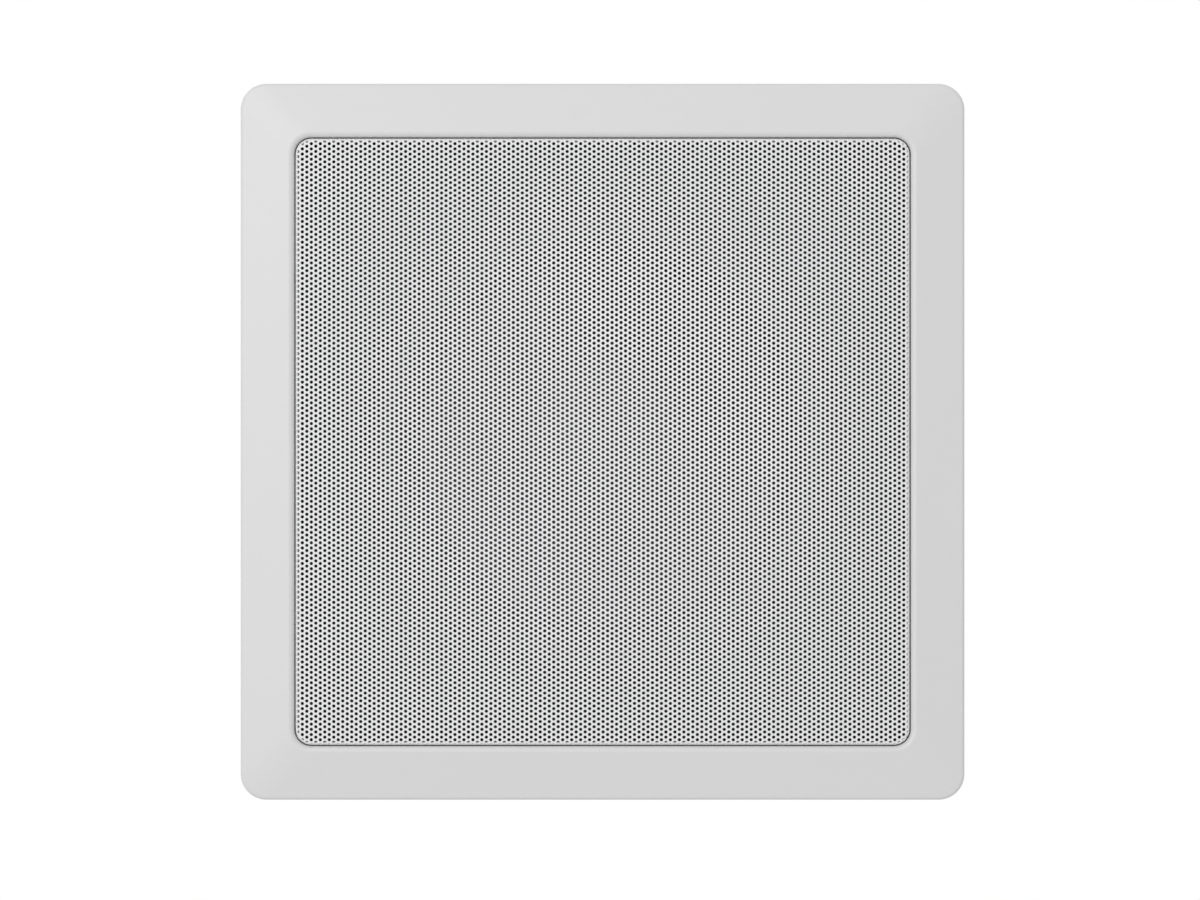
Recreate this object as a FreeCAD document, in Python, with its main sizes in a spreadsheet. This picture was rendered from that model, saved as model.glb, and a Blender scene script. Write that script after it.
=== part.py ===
"""Square in-ceiling subwoofer: trim frame, pressed grille, baffle, driver, terminals and clamps.

Millimetres. X is right, Z is up and Y runs into the ceiling, with Y = 0 on the back of the flange,
where the ceiling board begins. The listener looks along +Y at the grille.
"""
import FreeCAD
import Part
import Sketcher
import math
import os
import re

FLANGE_SIZES = (
    ("frame_width", 280.0),
    ("frame_height", 277.0),
    ("frame_corner", 10.0),
    ("bezel_width", 21.0),
    ("flange_edge", 4.0),
    ("bezel_crest", 7.0),
    ("crest_flat", 2.2),
    ("bezel_round", 1.5),
    ("opening_round", 2.0),
    ("channel_depth", 2.0),
    ("channel_margin", 3.0),
    ("channel_rib", 2.0),
    ("channel_rib_pitch", 44.0),
)
SKIRT_SIZES = (
    ("opening_corner", 6.5),
    ("skirt_wall", 3.0),
    ("skirt_depth", 30.0),
    ("ledge_front", 9.0),
    ("ledge_thickness", 2.5),
    ("ledge_least", 11.0),
    ("crush_rib_radius", 0.4),
    ("crush_rib_along", 70.0),
    ("boss_radius", 4.0),
    ("boss_length", 8.5),
)
GRILLE_SIZES = (
    ("grille_gap", 0.45),
    ("grille_sheet", 0.8),
    ("grille_bend", 1.2),
    ("grille_front", 6.4),
    ("grille_lip", 7.0),
    ("perforation_margin", 3.05),
    ("perforation_width", 12.0),
)
BAFFLE_SIZES = (
    ("baffle_gap", 1.0),
    ("baffle_thickness", 6.0),
    ("baffle_cover", 11.0),
    ("baffle_hole_round", 2.0),
    ("baffle_screw_edge", 5.5),
    ("baffle_screw_to_block", 10.0),
    ("baffle_screw_length", 15.0),
    ("screw_radius", 1.5),
    ("screw_head_radius", 3.2),
    ("screw_head_height", 2.4),
    ("screw_slot_width", 1.1),
    ("screw_slot_depth", 1.2),
    ("screw_clearance", 0.35),
    ("pilot_clearance", 0.05),
)
DRIVER_SIZES = (
    ("gasket_thickness", 3.0),
    ("gasket_width", 8.0),
    ("driver_gap", 2.5),
    ("driver_screw_inset", 5.0),
    ("driver_screw_length", 9.6),
    ("basket_flange", 2.5),
    ("basket_flange_width", 13.0),
    ("basket_taper", 32.0),
    ("basket_wall", 3.0),
    ("basket_depth", 50.5),
    ("basket_plate", 2.5),
    ("basket_plate_hole", 32.0),
    ("shelf_depth", 36.0),
    ("shelf_width", 5.0),
    ("shelf_thickness", 2.5),
    ("window_front", 8.0),
    ("window_rear", 31.0),
    ("window_half_width", 36.0),
    ("window_corner", 6.0),
    ("spoke_rib_start", 3.5),
    ("spoke_rib_height", 2.5),
    ("spoke_rib_width", 6.0),
    ("lug_start", 11.0),
    ("lug_length", 14.0),
    ("lug_half_width", 13.0),
    ("lug_depth", 35.0),
    ("lug_thickness", 2.5),
    ("lead_hole_front", 25.5),
    ("lead_hole_half", 9.0),
    ("lead_hole_height", 5.0),
)
CONE_SIZES = (
    ("cone_inset", 0.5),
    ("cone_rim", 5.5),
    ("cone_depth", 31.0),
    ("cone_thickness", 1.0),
    ("cone_slant", 1.3),
    ("neck_length", 3.0),
    ("neck_thickness", 1.2),
    ("surround_inset", 8.5),
    ("surround_lip", 4.5),
    ("surround_roll", 15.0),
    ("surround_bond", 5.4),
    ("surround_sheet", 0.9),
    ("cap_radius", 31.5),
    ("cap_rise", 8.0),
    ("cap_sheet", 0.8),
    ("glue_gap", 0.1),
    ("former_inner", 25.4),
    ("former_sheet", 0.25),
    ("former_length", 33.0),
    ("winding_build", 0.9),
    ("winding_length", 15.0),
    ("spider_seat", 5.0),
    ("spider_seat_margin", 3.0),
    ("spider_flat", 29.0),
    ("spider_wave", 1.5),
    ("spider_sheet", 0.7),
)
MOTOR_SIZES = (
    ("top_plate_radius", 55.0),
    ("top_plate_thickness", 6.0),
    ("gap_radius", 27.3),
    ("magnet_radius", 60.0),
    ("magnet_bore", 32.0),
    ("magnet_thickness", 20.0),
    ("yoke_radius", 55.0),
    ("yoke_thickness", 6.0),
    ("pole_radius", 24.6),
    ("vent_radius", 8.0),
    ("vent_flare", 2.0),
    ("motor_chamfer", 1.0),
)
TERMINAL_SIZES = (
    ("block_side", 69.0),
    ("block_width", 36.0),
    ("block_edge", 3.5),
    ("block_height", 20.0),
    ("block_base", 5.0),
    ("block_ear", 7.0),
    ("block_rise", 18.0),
    ("tab_spacing", 10.0),
    ("tab_width", 7.0),
    ("tab_height", 9.0),
    ("tab_centre_high", 14.0),
    ("tab_gap", 0.4),
    ("tab_length", 10.0),
    ("tab_out", 4.0),
    ("tab_pocket", 10.5),
    ("wire_hole_radius", 1.6),
    ("wire_hole_depth", 9.0),
    ("wire_hole_high", 4.5),
    ("lead_radius", 1.1),
    ("lead_hole_depth", 4.0),
    ("lead_entry", 10.0),
    ("strip_length", 24.0),
    ("strip_width", 10.0),
    ("strip_thickness", 1.6),
    ("tag_spacing", 13.0),
    ("tag_width", 4.8),
    ("tag_sheet", 0.8),
    ("tag_overlap", 10.0),
    ("tag_overhang", 8.0),
    ("rivet_radius", 1.2),
    ("rivet_head", 2.0),
    ("rivet_inset", 6.0),
    ("receptacle_length", 9.0),
    ("receptacle_width", 6.4),
    ("receptacle_height", 3.4),
    ("tinsel_radius", 0.6),
)
CLAMP_SIZES = (
    ("clamp_side", 17.0),
    ("clamp_end", 15.5),
    ("clamp_screw_radius", 2.3),
    ("clamp_screw_end", 62.0),
    ("clamp_head_radius", 4.5),
    ("clamp_head_height", 3.0),
    ("clamp_recess_width", 1.4),
    ("clamp_recess_length", 5.4),
    ("clamp_recess_depth", 1.8),
    ("clamp_boss_radius", 6.0),
    ("clamp_boss_length", 3.5),
    ("clamp_slot_half", 6.5),
    ("clamp_slot_front", 15.0),
    ("retainer_radius", 5.0),
    ("retainer_thickness", 1.2),
    ("retainer_place", 60.0),
    ("dog_hub_radius", 6.5),
    ("dog_hub_length", 14.0),
    ("dog_bore_clearance", 0.1),
    ("dog_reach", 36.0),
    ("dog_arm_half", 5.0),
    ("dog_arm_height", 10.0),
    ("dog_foot_length", 12.0),
    ("dog_foot_step", 4.0),
    ("dog_tip_round", 2.0),
)
SIZES = (
    FLANGE_SIZES + SKIRT_SIZES + GRILLE_SIZES + BAFFLE_SIZES + DRIVER_SIZES
    + CONE_SIZES + MOTOR_SIZES + TERMINAL_SIZES + CLAMP_SIZES
)
SIZE_NAMES = {name for name, _ in SIZES}
WORKED_OUT = {
    "opening_width": "frame_width - 2 * bezel_width",
    "opening_height": "frame_height - 2 * bezel_width",
    "clear_radius": "min(opening_width; opening_height) / 2",
    "grille_width": "opening_width - 2 * grille_gap",
    "grille_height": "opening_height - 2 * grille_gap",
    "perforated_width": "grille_width - perforation_width - 2 * perforation_margin",
    "perforated_height": "grille_height - perforation_width - 2 * perforation_margin",
    "ledge_hole_radius": "clear_radius - ledge_least",
    "baffle_screw_out": "clear_radius - baffle_screw_edge",
    "baffle_screw_along": "block_left - baffle_screw_to_block",
    "baffle_hole_radius": "driver_radius - baffle_cover",
    "driver_radius": "ledge_hole_radius - driver_gap",
    "driver_screw_circle": "driver_radius - driver_screw_inset",
    "gasket_inner": "driver_radius - gasket_width",
    "basket_mouth": "driver_radius - basket_flange_width",
    "basket_base": "basket_mouth - basket_taper",
    "shelf_inner": "basket_base - shelf_width",
    "spider_outer": "basket_base + spider_seat",
    "spider_lip": "basket_base - spider_seat_margin",
    "lug_inner": "basket_base + lug_start",
    "lug_outer": "lug_inner + lug_length",
    "tag_inner": "lug_outer - tag_overlap",
    "tag_outer": "lug_outer + tag_overhang",
    "rivet_place": "lug_outer - rivet_inset",
    "surround_outer": "driver_radius - surround_inset",
    "surround_roll_outer": "surround_outer - surround_lip",
    "surround_roll_inner": "surround_roll_outer - surround_roll",
    "surround_inner": "surround_roll_inner - surround_bond",
    "cone_radius": "surround_roll_inner - cone_inset",
    "block_left": "opening_width / 2 - block_side",
    "block_low": "opening_height / 2 - block_edge",
    "clamp_across": "opening_width / 2 - clamp_side",
    "clamp_up": "opening_height / 2 - clamp_end",
}

SKIRT_WIDTH = "(opening_width + 2 * skirt_wall)"
SKIRT_HEIGHT = "(opening_height + 2 * skirt_wall)"
SKIRT_CORNER = "(opening_corner + skirt_wall)"
LEDGE_BACK = "(ledge_front + ledge_thickness)"
BAFFLE_FRONT = "(ledge_front - baffle_thickness)"
DRIVER_FRONT = "(ledge_front + gasket_thickness)"
FLANGE_BACK = f"({DRIVER_FRONT} + basket_flange)"
MOTOR_FRONT = f"({DRIVER_FRONT} + basket_depth)"
SHELF_FRONT = f"({DRIVER_FRONT} + shelf_depth)"
LUG_FRONT = f"({DRIVER_FRONT} + lug_depth - lug_thickness)"
LUG_BACK = f"({DRIVER_FRONT} + lug_depth)"
MAGNET_FRONT = f"({MOTOR_FRONT} + top_plate_thickness)"
YOKE_FRONT = f"({MAGNET_FRONT} + magnet_thickness)"
YOKE_BACK = f"({YOKE_FRONT} + yoke_thickness)"
FORMER_OUTER = "(former_inner + former_sheet)"
NECK_INNER = f"({FORMER_OUTER} + glue_gap)"
NECK_FRONT = f"({DRIVER_FRONT} + cone_depth)"
CONE_SLOPE = f"(cone_depth / (cone_radius - cone_rim - {NECK_INNER} - neck_thickness))"
BLOCK_BACK = f"({LEDGE_BACK} + block_rise)"
BLOCK_MIDDLE = "(block_left + block_width / 2)"
TAB_HIGH = "(-block_low + tab_centre_high)"
HOLE_HIGH = "(-block_low + wire_hole_high)"
DRIVER_SCREWS = 8
CORNERS = {
    "top_right": (0, 1, 1),
    "bottom_right": (90, 1, -1),
    "bottom_left": (180, -1, -1),
    "top_left": (270, -1, 1),
}

document = FreeCAD.newDocument("CeilingSubwoofer")
sheet = document.addObject("Spreadsheet::Sheet", "Sizes")
for row, (name, size) in enumerate(SIZES, start=1):
    sheet.set(f"A{row}", str(size))
    sheet.setAlias(f"A{row}", name)
document.recompute()
pieces = []


def bound(text):
    """Return an expression in which each name points at the sheet, or is worked out from it."""
    def point(match):
        word = match.group()
        if word in WORKED_OUT:
            return f"({bound(WORKED_OUT[word])})"
        return f"Sizes.{word}" if word in SIZE_NAMES else word
    return re.sub(r"[a-z][a-z0-9_]*", point, text)


def worth(text):
    """Return the present value of an expression in size names."""
    return float(sheet.evalExpression(bound(text)))


class Drawing:
    """A sketch in which every point, centre and radius is bound to the sheet."""

    def __init__(self, body, name, plane="XZ_Plane", depth="0", turn=0.0, swing=0.0):
        """Lay the sketch on a plane of the body, moved to a depth into the ceiling.

        turn is about the sketch's normal, and swing about its upright axis.
        """
        self.sketch = body.newObject("Sketcher::SketchObject", name)
        support = next(f for f in body.Origin.OriginFeatures if f.Role == plane)
        self.sketch.AttachmentSupport = [(support, "")]
        self.sketch.MapMode = "FlatFace"
        rotation = FreeCAD.Rotation(FreeCAD.Vector(0, 0, 1), turn)
        rotation *= FreeCAD.Rotation(FreeCAD.Vector(0, 1, 0), swing)
        self.sketch.AttachmentOffset = FreeCAD.Placement(FreeCAD.Vector(), rotation)
        self.sketch.setExpression("AttachmentOffset.Base.z", bound(f"-({depth})"))
        self.rules = []

    def rule(self, kind, *ends, text=None):
        """Keep a constraint, and the expression that drives it."""
        parts = (kind,) + ends + (() if text is None else (worth(text),))
        self.rules.append((Sketcher.Constraint(*parts), text))

    def place(self, geometry, end, x, y):
        """Tie one point to the sketch's origin."""
        self.rule("DistanceX", -1, 1, geometry, end, text=x)
        self.rule("DistanceY", -1, 1, geometry, end, text=y)

    def line(self, first, last):
        """Add a straight edge and return its number."""
        ends = [FreeCAD.Vector(worth(x), worth(y), 0) for x, y in (first, last)]
        return self.sketch.addGeometry(Part.LineSegment(*ends), False)

    def polygon(self, points):
        """Add a closed outline of straight edges."""
        count = len(points)
        edges = [self.line(points[i], points[(i + 1) % count]) for i in range(count)]
        for i, edge in enumerate(edges):
            self.rule("Coincident", edge, 2, edges[(i + 1) % count], 1)
            self.place(edge, 1, *points[i])
        return self

    def box(self, left, right, low, high):
        """Add an upright rectangle."""
        return self.polygon(((left, low), (right, low), (right, high), (left, high)))

    def rounded_box(self, left, right, low, high, radius):
        """Add an upright rectangle with four equal round corners."""
        inner = {
            "left": f"({left}) + ({radius})",
            "right": f"({right}) - ({radius})",
            "low": f"({low}) + ({radius})",
            "high": f"({high}) - ({radius})",
        }
        sides = (
            ((inner["left"], low), (inner["right"], low)),
            ((right, inner["low"]), (right, inner["high"])),
            ((inner["right"], high), (inner["left"], high)),
            ((left, inner["high"]), (left, inner["low"])),
        )
        centres = (
            (inner["right"], inner["low"]),
            (inner["right"], inner["high"]),
            (inner["left"], inner["high"]),
            (inner["left"], inner["low"]),
        )
        lines = [self.line(*side) for side in sides]
        quarter = math.pi / 2
        for i, (x, y) in enumerate(centres):
            centre = FreeCAD.Vector(worth(x), worth(y), 0)
            circle = Part.Circle(centre, FreeCAD.Vector(0, 0, 1), worth(radius))
            arc = Part.ArcOfCircle(circle, (i - 1) * quarter, i * quarter)
            number = self.sketch.addGeometry(arc, False)
            self.place(lines[i], 1, *sides[i][0])
            self.place(lines[i], 2, *sides[i][1])
            self.rule("Coincident", lines[i], 2, number, 1)
            self.rule("Coincident", number, 2, lines[(i + 1) % 4], 1)
            self.rule("Radius", number, text=radius)
        return self

    def rounded_rectangle(self, width, height, radius):
        """Add a centred rectangle with round corners."""
        half_width, half_height = f"({width}) / 2", f"({height}) / 2"
        return self.rounded_box(f"-({half_width})", half_width, f"-({half_height})", half_height, radius)

    def circle(self, x, y, radius):
        """Add a circle."""
        centre = FreeCAD.Vector(worth(x), worth(y), 0)
        number = self.sketch.addGeometry(Part.Circle(centre, FreeCAD.Vector(0, 0, 1), worth(radius)), False)
        self.place(number, 3, x, y)
        self.rule("Radius", number, text=radius)
        return self

    def arc_profile(self, points, arcs):
        """Add a closed outline whose edges named in arcs are arcs.

        arcs maps an edge's number to its middle point's rough place and the rule that sets its centre.
        """
        count = len(points)
        edges = []
        firsts = []
        lasts = []
        for i in range(count):
            start, end = points[i], points[(i + 1) % count]
            if i not in arcs:
                edges.append(self.line(start, end))
                firsts.append(1)
                lasts.append(2)
                continue
            through, kind, text = arcs[i]
            spots = [FreeCAD.Vector(worth(x), worth(y), 0) for x, y in (start, through, end)]
            arc = Part.Arc(*spots)
            forward = (spots[1] - spots[0]).cross(spots[2] - spots[1]).z > 0
            edges.append(self.sketch.addGeometry(arc, False))
            firsts.append(1 if forward else 2)
            lasts.append(2 if forward else 1)
            self.rule(kind, -1, 1, edges[i], 3, text=text)
        for i in range(count):
            following = (i + 1) % count
            self.rule("Coincident", edges[i], lasts[i], edges[following], firsts[following])
            self.place(edges[i], firsts[i], *points[i])
        return self

    def done(self):
        """Hand over the sketch with all its constraints."""
        numbers = self.sketch.addConstraint([constraint for constraint, _ in self.rules])
        for number, (_, text) in zip(numbers, self.rules):
            if text and bound(text) != text:
                self.sketch.setExpression(f"Constraints[{number}]", bound(text))
        return self.sketch


class Piece:
    """One physical piece: a body whose last feature is its finished shape."""

    def __init__(self, label, several=False):
        """Start an empty body. A group of equal pieces holds several solids."""
        self.body = document.addObject("PartDesign::Body", "".join(w.title() for w in label.split("_")))
        self.body.Label = label
        self.body.AllowCompound = several
        self.count = 0
        pieces.append(self.body)

    def name(self, kind):
        """Return a fresh name for a feature of this piece."""
        self.count += 1
        return f"{self.body.Name}{kind}{self.count}"

    def draw(self, plane="XZ_Plane", depth="0", turn=0.0, swing=0.0):
        """Start a sketch of this piece."""
        return Drawing(self.body, self.name("Sketch"), plane, depth, turn, swing)

    def feature(self, kind, sketch=None):
        """Add a feature, on a sketch where it has one."""
        made = self.body.newObject(f"PartDesign::{kind}", self.name(kind))
        if sketch is not None:
            made.Profile = sketch
        return made

    def pad(self, drawing, length, to_front=False):
        """Raise a sketch into the ceiling, or towards the room."""
        made = self.feature("Pad", drawing.done())
        made.setExpression("Length", bound(length))
        made.Reversed = not to_front
        return made

    def pocket(self, drawing, length, to_front=False):
        """Cut a sketch into the ceiling, or towards the room."""
        made = self.feature("Pocket", drawing.done())
        made.setExpression("Length", bound(length))
        made.Reversed = to_front
        return made

    def turn(self, drawing):
        """Revolve a profile of radius against depth about the driver's axis."""
        made = self.feature("Revolution", drawing.done())
        made.ReferenceAxis = (made.Profile[0], ["V_Axis"])
        made.Angle = 360
        return made

    def around(self, made, count):
        """Repeat a feature evenly about the driver's axis."""
        pattern = self.feature("PolarPattern")
        axis = next(f for f in self.body.Origin.OriginFeatures if f.Role == "Y_Axis")
        pattern.Originals = [made]
        pattern.Axis = (axis, [""])
        pattern.Angle = 360
        pattern.Occurrences = count
        self.body.Tip = pattern
        return pattern

    def profile(self, points):
        """Revolve a closed outline of straight edges."""
        return self.turn(self.draw("XY_Plane").polygon(points))

    def ring(self, inner, outer, front, back):
        """Revolve a plain ring."""
        return self.profile(((inner, front), (outer, front), (outer, back), (inner, back)))

    def disc(self, inner, outer, front, back, chamfer):
        """Revolve a ring whose outer edges are chamfered."""
        return self.profile((
            (inner, front), (f"{outer} - {chamfer}", front), (outer, f"{front} + {chamfer}"),
            (outer, f"{back} - {chamfer}"), (f"{outer} - {chamfer}", back), (inner, back),
        ))

    def fillet(self, radius, choose):
        """Round the edges that the test picks."""
        document.recompute()
        base = self.body.Tip
        edges = [f"Edge{i}" for i, edge in enumerate(base.Shape.Edges, start=1) if choose(edge)]
        made = self.feature("Fillet")
        made.Base = (base, edges)
        made.setExpression("Radius", bound(radius))
        return made


def lies_at(edge, depth):
    """Tell whether an edge lies wholly at one depth."""
    box = edge.BoundBox
    return abs(box.YMin - depth) < 1e-4 and abs(box.YMax - depth) < 1e-4


def at_clamps(drawing, radius):
    """Add a circle on each clamp's axis."""
    for _, across, up in CORNERS.values():
        drawing.circle(f"{across} * clamp_across", f"{up} * clamp_up", radius)
    return drawing


def in_order(side, near, far):
    """Return a span to one side of the middle, from its lower end to its upper one."""
    return (near, far) if side > 0 else (f"-({far})", f"-({near})")


def trim_frame():
    """Flange with a sloping bezel, skirt, ledge, bosses and the clamps' slots: one moulding."""
    piece = Piece("trim_frame")
    outline = ("frame_width", "frame_height", "frame_corner")
    piece.pad(piece.draw().rounded_rectangle(*outline), "flange_edge", to_front=True)
    foot = piece.draw(depth="-flange_edge").rounded_rectangle(*outline).done()
    crest = piece.draw(depth="-bezel_crest")
    crest.rounded_rectangle(
        "opening_width + 2 * crest_flat", "opening_height + 2 * crest_flat", "opening_corner + crest_flat")
    crest = crest.done()
    loft = piece.feature("AdditiveLoft", foot)
    loft.Sections = [crest]
    loft.Ruled = True
    piece.body.Tip = loft
    piece.fillet("bezel_round", lambda edge: lies_at(edge, -worth("flange_edge")))
    piece.pad(piece.draw().rounded_rectangle(SKIRT_WIDTH, SKIRT_HEIGHT, SKIRT_CORNER), "skirt_depth")
    opening = ("opening_width", "opening_height", "opening_corner")
    piece.pocket(piece.draw(depth="-bezel_crest").rounded_rectangle(*opening), "bezel_crest + ledge_front")
    half_width = worth("opening_width") / 2
    half_height = worth("opening_height") / 2

    def rims_opening(edge):
        box = edge.BoundBox
        inside = max(abs(box.XMin), abs(box.XMax)) < half_width + 0.01
        return lies_at(edge, -worth("bezel_crest")) and inside \
            and max(abs(box.ZMin), abs(box.ZMax)) < half_height + 0.01

    piece.fillet("opening_round", rims_opening)
    hollow = piece.draw(depth="skirt_depth").rounded_rectangle(*opening)
    piece.pocket(hollow, f"skirt_depth - {LEDGE_BACK}", to_front=True)
    piece.pocket(piece.draw(depth="ledge_front").circle("0", "0", "ledge_hole_radius"), "ledge_thickness")
    bosses = piece.draw(depth="ledge_front")
    pilots = piece.draw(depth="ledge_front")
    for drawing, radius in ((bosses, "boss_radius"), (pilots, "screw_radius + pilot_clearance")):
        for side in ("baffle_screw_along", "-baffle_screw_along"):
            drawing.circle(side, "baffle_screw_out", radius)
    piece.around(piece.pad(bosses, "ledge_thickness + boss_length"), 4)
    piece.around(piece.pocket(pilots, "ledge_thickness + boss_length"), 4)
    guides = at_clamps(piece.draw(depth="ledge_front"), "clamp_boss_radius")
    piece.pad(guides, "ledge_thickness + clamp_boss_length")
    holes = at_clamps(piece.draw(depth="ledge_front"), "clamp_screw_radius + screw_clearance")
    piece.pocket(holes, "ledge_thickness + clamp_boss_length")
    slots = piece.draw(depth="skirt_depth")
    for side in (-1, 1):
        slots.box(f"{side} * clamp_across - clamp_slot_half", f"{side} * clamp_across + clamp_slot_half",
                  *in_order(side, "opening_height / 2 - skirt_wall", f"{SKIRT_HEIGHT} / 2 + skirt_wall"))
        slots.box(*in_order(side, "opening_width / 2 - skirt_wall", f"{SKIRT_WIDTH} / 2 + skirt_wall"),
                  f"-({side}) * clamp_up - clamp_slot_half", f"-({side}) * clamp_up + clamp_slot_half")
    piece.pocket(slots, "skirt_depth - clamp_slot_front", to_front=True)
    ear_screws = piece.draw(depth="ledge_front")
    for side in ("-1", "1"):
        ear_screws.circle(
            f"{BLOCK_MIDDLE} + {side} * (block_width - block_ear) / 2", "-block_low + block_height / 2",
            "screw_radius + pilot_clearance")
    piece.pocket(ear_screws, "ledge_thickness")
    channel = piece.draw()
    channel.rounded_rectangle(
        "frame_width - 2 * channel_margin", "frame_height - 2 * channel_margin",
        "frame_corner - channel_margin")
    channel.rounded_rectangle(
        f"{SKIRT_WIDTH} + 2 * channel_margin", f"{SKIRT_HEIGHT} + 2 * channel_margin",
        f"{SKIRT_CORNER} + channel_margin")
    piece.pocket(channel, "channel_depth", to_front=True)
    for across in (True, False):
        rib = piece.draw(depth="-channel_depth")
        for side in (-1, 1):
            inner = f"{SKIRT_HEIGHT if across else SKIRT_WIDTH} / 2 + channel_margin / 2"
            outer = f"{'frame_height' if across else 'frame_width'} / 2 - channel_margin / 2"
            low, high = in_order(side, inner, outer)
            edge = "-2.5 * channel_rib_pitch - channel_rib / 2"
            far = "-2.5 * channel_rib_pitch + channel_rib / 2"
            if across:
                rib.box(edge, far, low, high)
            else:
                rib.box(low, high, edge, far)
        made = piece.pad(rib, "channel_depth")
        pattern = piece.feature("LinearPattern")
        pattern.Originals = [made]
        pattern.Direction = (made.Profile[0], ["H_Axis" if across else "V_Axis"])
        pattern.setExpression("Length", bound("5 * channel_rib_pitch"))
        pattern.Occurrences = 6
        piece.body.Tip = pattern
    ribs = piece.draw(depth="-grille_front + grille_lip / 2")
    for x in ("crush_rib_along", "-crush_rib_along"):
        for side in ("-1", "1"):
            ribs.circle(x, f"{side} * opening_height / 2", "crush_rib_radius")
            ribs.circle(f"{side} * opening_width / 2", x, "crush_rib_radius")
    piece.pad(ribs, "grille_lip / 2")


def grille():
    """Pressed sheet-steel pan, perforated on a sixty degree stagger."""
    piece = Piece("grille")
    corner = "opening_corner - grille_gap"
    pan = piece.draw(depth="-grille_front").rounded_rectangle("grille_width", "grille_height", corner)
    piece.pad(pan, "grille_lip")
    piece.fillet("grille_bend", lambda edge: lies_at(edge, -worth("grille_front")))
    inside = piece.draw(depth="-grille_front + grille_lip")
    inside.rounded_rectangle(
        "grille_width - 2 * grille_sheet", "grille_height - 2 * grille_sheet", f"{corner} - grille_sheet")
    piece.pocket(inside, "grille_lip - grille_sheet", to_front=True)
    face = worth("-grille_front + grille_sheet")
    piece.fillet("grille_bend - grille_sheet", lambda edge: lies_at(edge, face))
    pitch = "min(perforated_height / 9; perforated_width / (5 * sqrt(3)))"
    step = f"({pitch}) * sqrt(3)"
    half = "perforation_width / 2"
    cut = "perforation_width / 2 * tan(22.5)"
    for columns, rows in ((5, 9), (6, 10)):
        left = f"-{columns - 1} / 2 * {step}"
        low = f"-{rows - 1} / 2 * {pitch}"
        hole = piece.draw(depth="-grille_front")
        turns = (
            (half, cut), (cut, half), (f"-({cut})", half), (f"-({half})", cut),
            (f"-({half})", f"-({cut})"), (f"-({cut})", f"-({half})"),
            (cut, f"-({half})"), (half, f"-({cut})"),
        )
        hole.polygon([(f"{left} + {x}", f"{low} + {y}") for x, y in turns])
        made = piece.pocket(hole, "grille_sheet")
        pattern = piece.feature("LinearPattern")
        pattern.Originals = [made]
        pattern.Direction = (made.Profile[0], ["H_Axis"])
        pattern.setExpression("Length", bound(f"{columns - 1} * {step}"))
        pattern.Occurrences = columns
        pattern.Direction2 = (made.Profile[0], ["V_Axis"])
        pattern.setExpression("Length2", bound(f"{rows - 1} * {pitch}"))
        pattern.Occurrences2 = rows
        piece.body.Tip = pattern


def baffle():
    """Black board on the ledge that carries the driver from behind."""
    piece = Piece("baffle")
    board = piece.draw(depth=BAFFLE_FRONT)
    board.rounded_rectangle(
        "opening_width - 2 * baffle_gap", "opening_height - 2 * baffle_gap", "opening_corner - baffle_gap")
    piece.pad(board, "baffle_thickness")
    piece.pocket(piece.draw(depth=BAFFLE_FRONT).circle("0", "0", "baffle_hole_radius"), "baffle_thickness")
    front = worth(BAFFLE_FRONT)
    piece.fillet("baffle_hole_round", lambda edge: lies_at(edge, front) and hasattr(edge.Curve, "Radius")
                 and edge.Curve.Radius > worth("opening_corner"))
    holes = piece.draw(depth=BAFFLE_FRONT)
    for side in ("baffle_screw_along", "-baffle_screw_along"):
        holes.circle(side, "baffle_screw_out", "screw_radius + screw_clearance")
    piece.around(piece.pocket(holes, "baffle_thickness"), 4)
    clamp_holes = at_clamps(piece.draw(depth=BAFFLE_FRONT), "clamp_screw_radius + screw_clearance")
    piece.pocket(clamp_holes, "baffle_thickness")
    pilot = piece.draw(depth="ledge_front", turn=90)
    pilot.circle("driver_screw_circle", "0", "screw_radius + pilot_clearance")
    depth = f"{FLANGE_BACK} - ledge_front"
    made = piece.pocket(pilot, f"driver_screw_length - ({depth}) + 0.4", to_front=True)
    piece.around(made, DRIVER_SCREWS)


def add_screw(piece, x, z, under_head, tip, way):
    """Add one pan head screw with a slotted head, with its axis at x and z."""
    cylinder = piece.draw(depth=under_head).circle(x, z, "screw_radius")
    shank = piece.pad(cylinder, f"abs({tip} - {under_head})", to_front=way < 0)
    head = piece.draw(depth=under_head).circle(x, z, "screw_head_radius")
    cap = piece.pad(head, "screw_head_height", to_front=way > 0)
    top = f"{under_head} - {way} * screw_head_height"
    slot = piece.draw(depth=top)
    slot.box(f"{x} - screw_head_radius * 0.75", f"{x} + screw_head_radius * 0.75",
             f"{z} - screw_slot_width / 2", f"{z} + screw_slot_width / 2")
    return shank, cap, piece.pocket(slot, "screw_slot_depth", to_front=way < 0)


def screws():
    """The three sets of equal screws, each set one group of solids."""
    held = Piece("baffle_screws", several=True)
    tip = f"({BAFFLE_FRONT} + baffle_screw_length)"
    made = []
    for side in ("baffle_screw_along", "-baffle_screw_along"):
        made += add_screw(held, side, "baffle_screw_out", BAFFLE_FRONT, tip, 1)
    held.around(made[0], 4).Originals = made
    driver = Piece("driver_screws", several=True)
    tip = f"({FLANGE_BACK} - driver_screw_length)"
    made = list(add_screw(driver, "0", "driver_screw_circle", FLANGE_BACK, tip, -1))
    driver.around(made[0], DRIVER_SCREWS).Originals = made
    block = Piece("terminal_screws", several=True)
    seat = f"({LEDGE_BACK} + block_base)"
    for side in ("-1", "1"):
        add_screw(block, f"({BLOCK_MIDDLE} + {side} * (block_width - block_ear) / 2)",
                  "(-block_low + block_height / 2)", seat, "(ledge_front + screw_clearance)", -1)


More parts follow.
